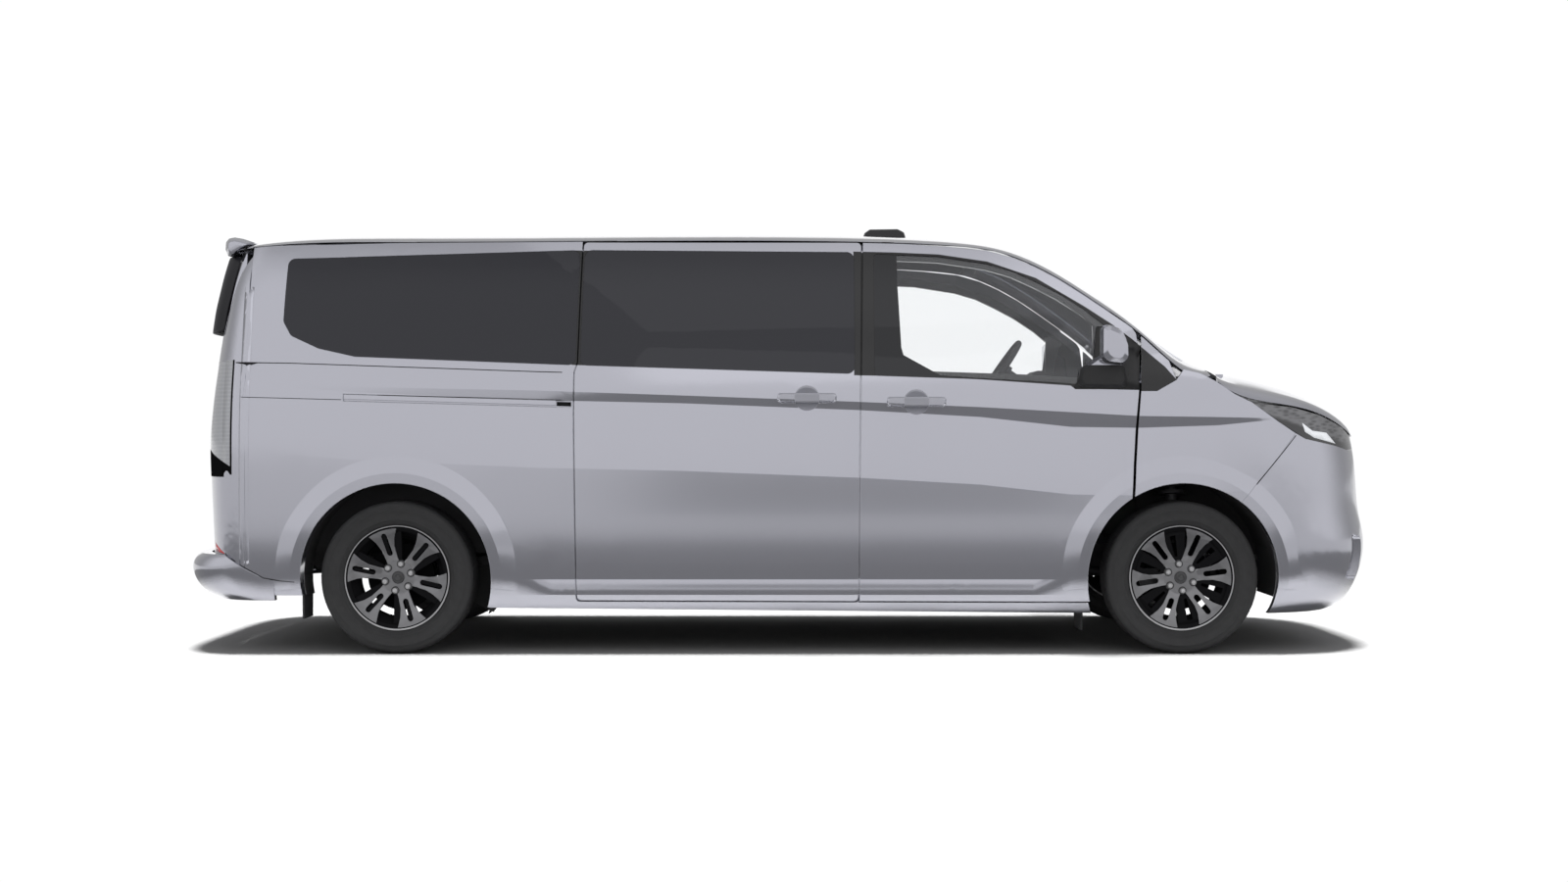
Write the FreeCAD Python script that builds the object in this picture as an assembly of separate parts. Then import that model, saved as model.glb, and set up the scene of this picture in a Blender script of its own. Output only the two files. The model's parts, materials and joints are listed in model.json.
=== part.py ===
"""A long minibus with two sliding side doors, built piece by piece in millimetres.

X points forwards, Y to the vehicle's left and Z up. The origin is on the ground, under the middle of the overall length.
"""
import FreeCAD, Part
import math
import os

Vector = FreeCAD.Vector

# Overall sizes
LENGTH = 5450.0
HALF_LENGTH = LENGTH / 2
ROOF_HEIGHT = 1926.0
HALF_WIDTH = 1012.0
FRONT_AXLE_X = 1780.0
REAR_AXLE_X = -1720.0
WHEEL_CENTRE_Y = 868.0

# Clearances
SEAT_GAP = 0.3
SHUT_GAP = 6.0
HINGE_SHUT_GAP = 12.0
ROOF_SEAM = 2.5
PILLAR_SEAM = 9.0
PIN_CLEARANCE = 0.05
CUT_OVERRUN = 60.0
SIDE_REACH = 1200.0
TALL_REACH = 2200.0

# Wheels and tyres
TYRE_RADIUS = 338.0
TYRE_WIDTH = 215.0
TYRE_TREAD_WIDTH = 170.0
TYRE_SHOULDER = 14.0
TYRE_BULGE_RADIUS = 288.0
TYRE_WALL = 18.0
RIM_RADIUS = 234.0
RIM_WIDTH = 196.0
RIM_LIP = 10.0
RIM_SEAT_RADIUS = 217.0
RIM_WELL_RADIUS = 188.0
RIM_WALL = 8.0
SPOKE_COUNT = 6
SPOKE_FIRST_DEG = 78.0
SPOKE_HUB_WIDTH = 62.0
SPOKE_RIM_WIDTH = 124.0
SPOKE_DEPTH = 30.0
SPOKE_DISH = 22.0
SLOT_START_RADIUS = 96.0
SLOT_END_RADIUS = 192.0
SLOT_START_WIDTH = 12.0
SLOT_END_WIDTH = 27.0
HUB_RADIUS = 78.0
HUB_DEPTH = 40.0
HUB_CAP_RADIUS = 27.0
HUB_CAP_PROUD = 7.0
NUT_CIRCLE_RADIUS = 58.0
NUT_RADIUS = 11.0
NUT_SINK = 9.0
NUT_RECESS_RADIUS = 17.0
NUT_RECESS_DEPTH = 14.0
DISC_RADIUS = 150.0
DISC_THICKNESS = 28.0
DISC_INNER_Y = -42.0
BELL_RADIUS = 82.0
STUB_RADIUS = 32.0

# Body shell
WALL_THICKNESS = 76.0
DOOR_THICKNESS = 50.0
DOOR_SEAL_GAP = 5.5
JAMB_WIDTH = 46.0
ROOF_THICKNESS = 36.0
PILLAR_THICKNESS = 58.0
BONNET_THICKNESS = 26.0
BONNET_FLANGE = 40.0
BUMPER_THICKNESS = 40.0
WING_THICKNESS = 16.0
LAMP_THICKNESS = 70.0
GLASS_INSET = 2.0
GLASS_THICKNESS = 5.0
GLASS_LAP = 28.0
ROOF_ROUND_share = 0.77
BONNET_ROUND_share = 0.60
FRONT_CORNER_LENGTH = 540.0
REAR_CORNER_LENGTH = 230.0
FRONT_CORNER_POWER = 3.6
REAR_CORNER_POWER = 4.2
SIDE_START_X = -2390.0
SIDE_END_X = 2350.0
NOSE_START_X = 1960.0
NOSE_TOP_share = 0.62
TAIL_TOP_INSET = 8.0

# Wheel arches
ARCH_RADIUS = 424.0
FLARE_LIP_RADIUS = 470.0
FLARE_FOOT_RADIUS = 556.0
FLARE_PROUD = 13.0
FLARE_SINK = 16.0
FLARE_LAP = 1.0
FLARE_SPREAD_DEG = 96.0
LINER_GAP = 8.0
LINER_THICKNESS = 5.0
LINER_SEAM = 1.0
REAR_LINER_INNER_Y = 700.0
FRONT_LINER_INNER_Y = 552.3

# Levels of the body: height, half width, front and rear as shares of roof height, half width and half length
LEVEL_shares = (
    (0.092, 0.925, 0.905, 0.9550),
    (0.128, 0.968, 0.978, 0.9590),
    (0.170, 0.986, 0.992, 0.9610),
    (0.210, 0.992, 1.000, 0.9625),
    (0.320, 0.999, 0.994, 0.9660),
    (0.430, 1.000, 0.987, 0.9690),
    (0.505, 0.998, 0.978, 0.9695),
    (0.560, 0.992, 0.964, 0.9670),
    (0.600, 0.983, 0.946, 0.9645),
    (0.660, 0.962, 0.905, 0.9600),
    (0.780, 0.924, 0.830, 0.9500),
    (0.900, 0.872, 0.755, 0.9340),
    (0.965, 0.828, 0.715, 0.9220),
    (1.040, 0.760, 0.660, 0.9050),
)

# The rear bumper's own levels
BUMPER_LEVEL_shares = (
    (0.124, 0.964, 0.9580),
    (0.138, 0.976, 0.9760),
    (0.156, 0.984, 0.9900),
    (0.180, 0.990, 0.9985),
    (0.206, 0.993, 0.9995),
    (0.219, 0.993, 0.9950),
    (0.231, 0.991, 0.9840),
)
BUMPER_CORNER_LENGTH = 300.0
BUMPER_CORNER_POWER = 5.0

# The top of the roof and windscreen along the middle, from the tail forwards
ROOF_LINE_shares = (
    (-0.980, 0.915),
    (-0.952, 0.944),
    (-0.923, 0.966),
    (-0.880, 0.984),
    (-0.815, 0.9925),
    (-0.624, 0.9990),
    (-0.330, 1.0010),
    (0.102, 1.0000),
    (0.264, 0.9905),
    (0.344, 0.9775),
    (0.384, 0.9660),
    (0.425, 0.9450),
    (0.465, 0.9155),
    (0.505, 0.8815),
    (0.546, 0.8440),
    (0.586, 0.8020),
    (0.626, 0.7595),
    (0.687, 0.6950),
    (0.720, 0.6600),
)

# The outer edge of the roof and windscreen pillars along the side
RAIL_LINE_shares = (
    (-0.980, 0.905),
    (-0.952, 0.925),
    (-0.923, 0.938),
    (-0.880, 0.947),
    (-0.770, 0.956),
    (-0.330, 0.9605),
    (0.102, 0.9600),
    (0.198, 0.9575),
    (0.270, 0.9510),
    (0.337, 0.9410),
    (0.380, 0.9240),
    (0.416, 0.9020),
    (0.455, 0.8720),
    (0.494, 0.8360),
    (0.530, 0.8010),
    (0.564, 0.7670),
    (0.590, 0.7370),
    (0.631, 0.6850),
    (0.687, 0.6500),
    (0.720, 0.6350),
)

# The bonnet along the middle, and its edges
BONNET_LINE_shares = (
    (0.670, 0.683),
    (0.739, 0.668),
    (0.818, 0.643),
    (0.877, 0.617),
    (0.916, 0.594),
    (0.955, 0.564),
    (0.974, 0.536),
    (0.982, 0.508),
)
BONNET_EDGE_shares = (
    (0.670, 0.6600),
    (0.705, 0.6360),
    (0.739, 0.6030),
    (0.767, 0.5850),
    (0.835, 0.5750),
    (0.886, 0.5560),
    (0.923, 0.5340),
    (0.955, 0.5140),
    (0.974, 0.5060),
    (0.982, 0.5040),
)

# Side outlines, as shares of half length and roof height
QUARTER_GLASS_shares = (
    (-0.815, 0.918), (-0.819, 0.770), (-0.806, 0.737), (-0.760, 0.707), (-0.700, 0.688),
    (-0.3390, 0.6680), (-0.3335, 0.9390),
)
SLIDER_GLASS_shares = ((-0.3320, 0.6680), (0.1180, 0.6480), (0.1180, 0.9340), (-0.3265, 0.9390))
SLIDER_REAR_shares = ((-0.3285, 0.958), (-0.3345, 0.6740), (-0.3400, 0.6520), (-0.3400, 0.5600), (-0.3360, 0.1245))
SLIDER_FRONT_shares = ((0.1235, 0.1225), (0.1250, 0.4700), (0.1300, 0.955))
DOOR_REAR_shares = ((0.1330, 0.955), (0.1275, 0.4700), (0.1260, 0.1225))
DOOR_FRONT_shares = ((0.5785, 0.742), (0.584, 0.690), (0.5815, 0.607), (0.575, 0.520), (0.5685, 0.350), (0.5685, 0.1210))
DOOR_GLASS_shares = (
    (0.150, 0.644), (0.150, 0.930), (0.256, 0.9237), (0.335, 0.9065), (0.378, 0.889), (0.416, 0.8640), (0.455, 0.8350),
    (0.494, 0.7990), (0.535, 0.752), (0.561, 0.7200), (0.566, 0.660), (0.560, 0.618), (0.400, 0.632),
)
PILLAR_REAR_shares = ((0.5852, 0.6085), (0.5877, 0.6900), (0.5870, 0.7350))
PILLAR_FRONT_shares = ((0.6430, 0.6342), (0.6110, 0.6085))
PILLAR_TOP_REAR_X = 1612.0
PILLAR_TOP_FRONT_X = 1722.0
WING_TOP_shares = ((0.5852, 0.6083), (0.6110, 0.6083), (0.6430, 0.6340), (0.6555, 0.6590), (0.6830, 0.6495))
LAMP_shares = (
    (0.767, 0.5805), (0.835, 0.5705), (0.886, 0.5520), (0.923, 0.5300), (0.960, 0.5100), (1.030, 0.5020),
    (1.030, 0.4730), (0.940, 0.4715), (0.911, 0.4820), (0.855, 0.4980), (0.809, 0.5380),
)
WING_FRONT_shares = ((0.8380, 0.5110), (0.8055, 0.4500), (0.771, 0.3920), (0.735, 0.3300))
BUMPER_SIDE_shares = ((-0.9120, 0.2300), (-0.8800, 0.2000), (-0.8460, 0.1760), (-0.8300, 0.1700), (-0.8300, 0.0500))
TAIL_shares = (
    (-0.400, 0.236), (0.400, 0.236), (0.388, 0.672), (0.402, 0.680), (0.428, 0.800), (0.400, 0.9350), (-0.400, 0.9350),
    (-0.428, 0.800), (-0.402, 0.680), (-0.388, 0.672),
)
TAIL_GLASS_shares = ((-0.375, 0.682), (0.375, 0.682), (0.405, 0.800), (0.375, 0.895), (-0.375, 0.895), (-0.405, 0.800))
SCREEN_shares = (
    (0.354, -0.655), (0.615, -0.815), (0.660, -0.825), (0.685, -0.560), (0.693, 0.0),
    (0.685, 0.560), (0.660, 0.825), (0.615, 0.815), (0.354, 0.655), (0.349, 0.0),
)
BONNET_REAR_shares = ((0.7110, -1.00), (0.7180, -0.60), (0.7280, -0.30), (0.7310, 0.0), (0.7280, 0.30), (0.7180, 0.60), (0.7110, 1.00))

# Hinges
DOOR_HINGE_X = 1510.0
DOOR_HINGE_Y = 990.0
DOOR_HINGE_HEIGHTS = (760.0, 980.0)
DOOR_PIN_RADIUS = 7.0
DOOR_PIN_REACH = 14.0
DOOR_SWING_ROOM = 124.0
DOOR_SWING_ROOM_Z = 1180.0
DOOR_EDGE_ROOM = 59.0
HINGE_EYE_RADIUS = 14.0
HINGE_EYE_HEIGHT = 44.0
HINGE_POCKET_HEIGHT = 56.0
HINGE_POCKET_BACK = 84.0
HINGE_STRAP_THICKNESS = 12.0
HINGE_SKIN = 5.0
HINGE_STRAP_REACH = 60.0
POST_FRONT_X = 1468.0
POST_REAR_X = 1392.0
GATE_HINGE_X = -2358.0
GATE_HINGE_Z = 1836.0
GATE_HINGE_Y = 480.0
GATE_SHUT_X = -2438.0
GATE_SHUT_GAP = 8.0
GATE_SWEEP_RADIUS = 96.0
GATE_PIN_RADIUS = 7.0
GATE_EYE_RADIUS = 12.0
GATE_EYE_WIDTH = 14.0
GATE_ARM_WIDTH = 28.0
GATE_ARM_DROP = 100.0
GATE_ARM_THICKNESS = 14.0
GATE_ARM_REACH = 134.0
GATE_CORNER_X = -2432.0
GATE_HEADER_X = (-2505.0, -2462.0)
GATE_HEADER_Z = (1768.0, 1831.0)
GATE_HEADER_HALF_WIDTH = 520.0
BONNET_HINGE_X = 1935.0
BONNET_HINGE_Z = 1225.0
BONNET_HINGE_Y = 700.0
BONNET_PIN_RADIUS = 7.0
BONNET_EYE_RADIUS = 13.0
BONNET_EYE_WIDTH = 34.0
BONNET_CHEEK_THICKNESS = 8.0
BONNET_CHEEK_outline = ((1923.0, 1214.0), (2010.0, 1214.0), (2010.0, 1252.0), (1962.0, 1252.0), (1923.0, 1236.0))
BONNET_BACK_X = 1937.0
BONNET_FRONT_X = 2655.0
BONNET_LIP = 20.0

# Front axle
KINGPIN_LOW_Y = 780.0
KINGPIN_LOW_Z = 210.0
KINGPIN_TOP_Y = 660.0
KINGPIN_TOP_Z = 900.0
BALL_PIN_RADIUS = 11.0
ARM_THICKNESS = 30.0
UPRIGHT_WIDTH = 96.0
UPRIGHT_THICKNESS = 34.0
UPRIGHT_HEIGHT = 190.0
CALIPER_LENGTH = 82.0
CALIPER_HEIGHT = 150.0
CALIPER_GAP = 7.0
STRUT_TUBE_RADIUS = 26.0
STRUT_ROD_RADIUS = 11.0
SPRING_RADIUS = 62.0
SPRING_WIRE_RADIUS = 7.0
SPRING_TURNS = 5
TOWER_THICKNESS = 14.0
TOWER_RADIUS = 86.0

# Floor and underbody
FLOOR_TOP_Z = 470.0
FLOOR_THICKNESS = 34.0
FLOOR_REAR_X = -2496.0
FLOOR_FRONT_X = 1480.0
SILL_WIDTH = 90.0
SILL_BOTTOM_Z = 214.0
FRAME_RAIL_Y = 430.0
FRAME_RAIL_WIDTH = 76.0
FRAME_RAIL_HEIGHT = 96.0
FRAME_RAIL_FRONT_X = 2530.0
CROSS_WIDTH = 70.0
AXLE_ROOM_RADIUS = 64.0
JACK_PAD_XS = (1100.0, -1000.0)
JACK_PAD_Y = 836.0
JACK_PAD_LENGTH = 70.0
JACK_PAD_WIDTH = 48.0
JACK_PAD_DROP = 8.0

# Cabin
SEAT_BASE_HEIGHT = 300.0
SEAT_CUSHION_LENGTH = 500.0
SEAT_CUSHION_HEIGHT = 130.0
SEAT_BACK_HEIGHT = 620.0
SEAT_BACK_THICKNESS = 110.0
SEAT_BACK_LEAN = 150.0
SEAT_HEAD_HEIGHT = 180.0
SEAT_HEAD_WIDTH = 260.0
SEAT_ROUND = 34.0
FRONT_SEAT_WIDTH = 520.0
FRONT_SEAT_Y = 430.0
FRONT_SEAT_X = 560.0
REAR_SEAT_WIDTH = 500.0
REAR_SEAT_Y = 440.0
REAR_ROW_XS = (-420.0, -1330.0)
BENCH_X = -2190.0
BENCH_WIDTH = 1300.0
WHEEL_HUB_X = 1098.0
WHEEL_HUB_Y = 400.0
WHEEL_HUB_Z = 1290.0
STEERING_RADIUS = 178.0
STEERING_GRIP = 15.0
STEERING_TILT_DEG = 56.0

# Doorways, sills and small openings
SILL_FRONT_Z = 179.0
SILL_REAR_Z = 205.0
QUARTER_BOTTOM_Z = 262.0
SLIDER_TOP_REAR_X = -895.0
SLIDER_TOP_FRONT_X = 354.0
DOOR_TOP_REAR_X = 362.0
DOOR_TOP_FRONT_X = 1560.0
WINDOW_ROUND = 34.0
DOOR_ROUND = 20.0
RAIL_SLOT_DEPTH = 24.0
RAIL_SLOT_Y = 977.0
RAIL_SLOT_shares = ((-0.7170, 0.6015), (-0.3440, 0.5860), (-0.3440, 0.5700), (-0.7170, 0.5850))
RAIL_COVER_shares = ((-0.7165, 0.6008), (-0.3700, 0.5865), (-0.3700, 0.5750), (-0.7165, 0.5895))
FLARE_FADE_share = 0.55
BUMPER_START_X = 2170.0
STRAIGHT_shares = (0.0, 0.5)

# Handles and mirrors
HANDLE_LENGTH = 262.0
HANDLE_HEIGHT = 42.0
HANDLE_PROUD = 32.0
HANDLE_SINK = 20.0
HANDLE_DISH_RADIUS = 90.0
HANDLE_DISH_DEPTH = 20.0
HANDLE_DISH_WIDTH = 56.0
HANDLE_FINGER_share = 0.93
SLIDER_HANDLE_X = 108.0
SLIDER_HANDLE_Z = 1141.0
DOOR_HANDLE_X = 594.0
DOOR_HANDLE_Z = 1124.0
MIRROR_HEAD_shares = (
    (0.5130, 0.6730), (0.5135, 0.7560), (0.5270, 0.7600), (0.5480, 0.7480), (0.5590, 0.7150), (0.5600, 0.6640),
)
MIRROR_ARM_shares = ((0.4800, 0.6180), (0.4850, 0.6600), (0.5180, 0.6920), (0.5520, 0.6900), (0.5640, 0.6150))
MIRROR_OUTER_Y = 1137.0
MIRROR_INNER_Y = 1008.0
MIRROR_FOOT_Y = 940.0
MIRROR_ROUND = 26.0
MIRROR_CORNER = 40.0

# Nose and tail details
NOSE_BOTTOM_Z = 178.0
GRILLE_shares = ((-0.2290, 0.4130), (0.2290, 0.4130), (0.2290, 0.5010), (-0.2290, 0.5010))
INTAKE_shares = ((-0.3100, 0.1500), (0.3100, 0.1500), (0.3300, 0.2700), (-0.3300, 0.2700))
VENT_shares = ((0.3600, 0.1600), (0.4300, 0.1700), (0.4300, 0.2750), (0.3750, 0.2650))
VENT_DEPTH = 26.0
GRILLE_ROUND = 16.0
GRILLE_INSET = 10.0
GRILLE_DEPTH = 20.0
GRILLE_RIM = 14.0
GRILLE_BARS = 4
INTAKE_BARS = 5
LAMP_INNER_Y = 441.7
LAMP_TAIL_X = 2085.0
LAMP_FRONT_X = -2487.0
LAMP_BOTTOM_Z = 790.0
LAMP_TOP_Z = 1308.0
TAIL_LAMP_THICKNESS = 44.0

# Front structure
BULKHEAD_X = 1640.0
BULKHEAD_THICKNESS = 20.0
BULKHEAD_LOW_Y = 548.0
BULKHEAD_HIGH_Y = 840.0
BULKHEAD_STEP_Z = 800.0
BULKHEAD_outline = (
    (1640.0, 800.0), (1660.0, 800.0), (1660.0, 990.0), (1875.0, 1165.0), (1990.0, 1165.0), (1990.0, 1200.0),
    (1862.0, 1200.0), (1640.0, 1012.0),
)
PILLAR_START_X = 925.3
PILLAR_END_X = 1905.0
PILLAR_FLANGE = 81.0
ROOF_REAR_X = -2525.0
ROOF_FRONT_X = 925.0
WHEELHOUSE_Y = 540.0
WHEELHOUSE_THICKNESS = 12.0
WHEELHOUSE_outline = ((1640.0, 520.0), (2200.0, 420.0), (2200.0, 700.0), (1900.0, 900.0), (1640.0, 900.0))
TOWER_outline = ((1640.0, 540.0), (1880.0, 540.0), (1880.0, 800.0), (1860.0, 955.0), (1700.0, 955.0), (1640.0, 800.0))
TOWER_Z = 886.0
UPPER_RAIL_outline = ((1612.0, 1080.0), (2060.0, 1040.0), (2220.0, 960.0), (2200.0, 910.0), (2040.0, 980.0), (1612.0, 1010.0))
UPPER_RAIL_THICKNESS = 44.0
GUSSET_outline = ((1700.0, 886.0), (1860.0, 886.0), (1880.0, 1010.0), (1680.0, 1010.0))
GUSSET_Y = 936.0
GUSSET_THICKNESS = 16.0
SCREEN_FOOT_X = 1822.0
SCREEN_FOOT_Y = 812.0
SCREEN_FOOT_WIDTH = 34.0
SCREEN_FOOT_TOP_Z = 1262.0
SCREEN_FOOT_BOTTOM_Z = 1150.0
BEAM_DEPTH = 56.0
BEAM_HALF_WIDTH = 640.0
BEAM_LOW_Z = 430.0
BEAM_HIGH_Z = 530.0
FRAME_RAIL_Z = 420.0
FRAME_RAIL_TIP_X = 2612.0

# Engine, exhaust and rear arms
ENGINE_REAR_X = 1905.0
ENGINE_FRONT_X = 2440.0
ENGINE_HALF_WIDTH = 320.0
ENGINE_BOTTOM_Z = 380.0
ENGINE_TOP_Z = 960.0
EXHAUST_X = -900.0
EXHAUST_Y = 200.0
EXHAUST_LENGTH = 620.0
EXHAUST_RADIUS = 74.0
EXHAUST_PIPE_RADIUS = 27.0
REAR_ARM_LENGTH = 560.0
REAR_ARM_Y = 580.0
REAR_ARM_WIDTH = 64.0
REAR_STUB_LENGTH = 98.0
FLOOR_CROSS_XS = (-1120.0, -420.0, 380.0, 1180.0)
FLAP_TOP_Z = 250.0
FLAP_INSET = 20.0
REAR_FLAP_BOTTOM_Z = 150.0
FRONT_FLAP_BOTTOM_Z = 96.0

# Dashboard and steering column
DASH_outline = (
    (1335.0, 900.0), (1300.0, 1150.0), (1340.0, 1222.0), (1560.0, 1216.0), (1790.0, 1196.0), (1800.0, 1147.9), (1639.6, 1012.0), (1639.6, 900.0),
)
DASH_HALF_WIDTH = 836.0
DASH_HOOD_outline = ((1230.0, 1170.0), (1216.0, 1250.0), (1280.0, 1300.0), (1440.0, 1236.0), (1440.0, 1170.0))
DASH_HOOD_HALF_WIDTH = 150.0
STEERING_HUB_DEPTH = 44.0
COLUMN_RADIUS = 44.0
COLUMN_LENGTH = 290.0
POD_outline = ((386.0, 1915.0), (398.0, 1958.0), (424.0, 1976.0), (560.0, 1978.0), (592.0, 1962.0), (606.0, 1915.0))
POD_HALF_WIDTH = 62.0


def smooth_line(points):
    """A smooth line through (position, value) points that never swings past them."""
    xs = [p[0] for p in points]
    ys = [p[1] for p in points]
    last = len(xs) - 1
    slopes = [(ys[i + 1] - ys[i]) / (xs[i + 1] - xs[i]) for i in range(last)]
    tangents = [slopes[0]]
    for i in range(1, last):
        if slopes[i - 1] * slopes[i] <= 0:
            tangents.append(0.0)
        else:
            tangents.append(2 * slopes[i - 1] * slopes[i] / (slopes[i - 1] + slopes[i]))
    tangents.append(slopes[-1])

    def value(x):
        i = 0
        while i < last - 1 and x > xs[i + 1]:
            i += 1
        step = xs[i + 1] - xs[i]
        t = min(max((x - xs[i]) / step, 0.0), 1.0)
        rise = ys[i] * (2 * t ** 3 - 3 * t ** 2 + 1) + ys[i + 1] * (3 * t ** 2 - 2 * t ** 3)
        lean = tangents[i] * (t ** 3 - 2 * t ** 2 + t) + tangents[i + 1] * (t ** 3 - t ** 2)
        return rise + step * lean

    return value


def side_points(shares):
    """Side outline points from shares of half length and roof height."""
    return [(x * HALF_LENGTH, z * ROOF_HEIGHT) for x, z in shares]


roof_line = smooth_line(side_points(ROOF_LINE_shares))
rail_line = smooth_line(side_points(RAIL_LINE_shares))
bonnet_line = smooth_line(side_points(BONNET_LINE_shares))
bonnet_edge = smooth_line(side_points(BONNET_EDGE_shares))
level_width = smooth_line([(z * ROOF_HEIGHT, w * HALF_WIDTH) for z, w, f, r in LEVEL_shares])
level_front = smooth_line([(z * ROOF_HEIGHT, f * HALF_LENGTH) for z, w, f, r in LEVEL_shares])
level_rear = smooth_line([(z * ROOF_HEIGHT, r * HALF_LENGTH) for z, w, f, r in LEVEL_shares])


def body_side_y(x, z):
    """Half width of the body at a point of its side."""
    width = level_width(z)
    front_start = level_front(z) - FRONT_CORNER_LENGTH
    rear_start = REAR_CORNER_LENGTH - level_rear(z)
    if x > front_start:
        along = min((x - front_start) / FRONT_CORNER_LENGTH, 1.0)
        return width * (1 - along ** 2) ** (1 / FRONT_CORNER_POWER)
    if x < rear_start:
        along = min((rear_start - x) / REAR_CORNER_LENGTH, 1.0)
        return width * (1 - along ** 2) ** (1 / REAR_CORNER_POWER)
    return width


# Outlines and simple solids

def spline_edge(points):
    curve = Part.BSplineCurve()
    curve.interpolate(points)
    return curve.toShape()


def straight_edge(a, b):
    return Part.LineSegment(a, b).toShape()


def place_points(points, axis):
    """Lay flat (across, up) points on a plane square to an axis."""
    if axis == "Y":
        return [Vector(x, 0, z) for x, z in points]
    if axis == "X":
        return [Vector(0, y, z) for y, z in points]
    return [Vector(x, y, 0) for x, y in points]


def grown(points, amount):
    """The outline moved outwards by amount, or inwards where it is negative."""
    count = len(points)
    area = sum(points[i - 1][0] * points[i][1] - points[i][0] * points[i - 1][1] for i in range(count))
    reach = math.copysign(amount, amount * area)
    moved = []
    for i in range(count):
        (ax, ay), (bx, by), (cx, cy) = points[i - 1], points[i], points[(i + 1) % count]
        first = math.hypot(bx - ax, by - ay)
        second = math.hypot(cx - bx, cy - by)
        n1 = ((by - ay) / first, (ax - bx) / first)
        n2 = ((cy - by) / second, (bx - cx) / second)
        scale = reach / (1 + n1[0] * n2[0] + n1[1] * n2[1])
        moved.append((bx + (n1[0] + n2[0]) * scale, by + (n1[1] + n2[1]) * scale))
    return moved


def rounded_wire(points, radius, axis):
    """A closed outline with its corners rounded."""
    flat = [Vector(a, b, 0) for a, b in points]
    count = len(flat)
    edges = []
    ends = []
    for i in range(count):
        corner = flat[i]
        back = flat[i - 1] - corner
        ahead = flat[(i + 1) % count] - corner
        reach = min(back.Length, ahead.Length) / 2.05
        back.normalize()
        ahead.normalize()
        half = back.getAngle(ahead) / 2
        if radius <= 0 or half > math.radians(86):
            ends.append((corner, corner, None))
            continue
        setback = min(radius / math.tan(half), reach)
        size = setback * math.tan(half)
        middle = back + ahead
        middle.normalize()
        centre = corner + middle * (size / math.sin(half))
        ends.append((corner + back * setback, corner + ahead * setback, centre - middle * size))
    for i in range(count):
        first, second, middle = ends[i]
        if middle is not None:
            a, b, c = place_points([(p.x, p.y) for p in (first, middle, second)], axis)
            edges.append(Part.Arc(a, b, c).toShape())
        a, b = place_points([(p.x, p.y) for p in (second, ends[(i + 1) % count][0])], axis)
        edges.append(straight_edge(a, b))
    return Part.Wire(edges)


def prism(points, axis, start, end, radius=0.0):
    """A rounded outline pushed along an axis from start to end."""
    face = Part.Face(rounded_wire(points, radius, axis))
    direction = {"X": Vector(1, 0, 0), "Y": Vector(0, 1, 0), "Z": Vector(0, 0, 1)}[axis]
    face.translate(direction * start)
    return face.extrude(direction * (end - start))


def box(x0, x1, y0, y1, z0, z1):
    shape = Part.makeBox(x1 - x0, y1 - y0, z1 - z0)
    shape.translate(Vector(x0, y0, z0))
    return shape


def rod(start, end, radius):
    along = end - start
    return Part.makeCylinder(radius, along.Length, start, along)


def drum(x, y0, y1, z, radius):
    return rod(Vector(x, y0, z), Vector(x, y1, z), radius)


def mirrored(shape):
    """The same shape on the other side of the vehicle."""
    return shape.mirror(Vector(0, 0, 0), Vector(0, 1, 0))


def pair(shape):
    return [shape, mirrored(shape)]


def joined(shapes):
    return shapes[0].fuse(shapes[1:]).removeSplitter()


def turned(profile):
    """A closed (radius, along) profile spun round the wheel's own axis."""
    points = [Vector(r, a, 0) for r, a in profile]
    face = Part.Face(Part.makePolygon(points + points[:1]))
    return face.revolve(Vector(0, 0, 0), Vector(0, 1, 0), 360)


def right_prism(points, radius=0.0):
    """A side outline pushed through the right side of the body."""
    return prism(points, "Y", -SIDE_REACH, -SIDE_REACH / 8, radius)


def full_prism(points, radius=0.0):
    return prism(points, "Y", -SIDE_REACH, SIDE_REACH, radius)


def arch_cutter(x, radius=ARCH_RADIUS):
    return drum(x, -SIDE_REACH, -SIDE_REACH / 2, TYRE_RADIUS, radius)


# Curved skins

def strip_wire(outer, inner):
    """A closed thin section from an outer and an inner run of points."""
    back = list(reversed(inner))
    return Part.Wire([
        spline_edge(outer),
        straight_edge(outer[-1], back[0]),
        spline_edge(back),
        straight_edge(back[-1], outer[0]),
    ])


def side_run(z, inset):
    steps = 14
    points = []
    for i in range(steps + 1):
        x = SIDE_START_X + (SIDE_END_X - SIDE_START_X) * (1 - math.cos(math.pi * i / steps)) / 2
        points.append(Vector(x, inset - body_side_y(x, z), z))
    return points


def end_run(half_width, tip_x, length, power, cut_x, ahead, z):
    """The rounded end of a plan section beyond cut_x, from one side to the other."""
    steps = 16
    start = tip_x - length
    first = math.asin(max((cut_x - start) / length, 0.0))
    straight = [cut_x + (start - cut_x) * share for share in STRAIGHT_shares] if start - cut_x > CUT_OVERRUN else []
    points = [Vector(ahead * x, -half_width, z) for x in straight]
    for i in range(steps + 1):
        angle = first + (math.pi - 2 * first) * i / steps
        side = math.cos(angle)
        across = math.copysign(abs(side) ** (2 / power), side)
        points.append(Vector(ahead * (start + length * math.sin(angle)), -half_width * across, z))
    return points + [Vector(ahead * x, half_width, z) for x in straight[::-1]]


def side_strip(outer_inset, inner_inset):
    """The upright skin of the right side, from the tail to the nose."""
    heights = [z * ROOF_HEIGHT for z, w, f, r in LEVEL_shares]
    return Part.makeLoft([strip_wire(side_run(z, outer_inset), side_run(z, inner_inset)) for z in heights], True, False)


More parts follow.
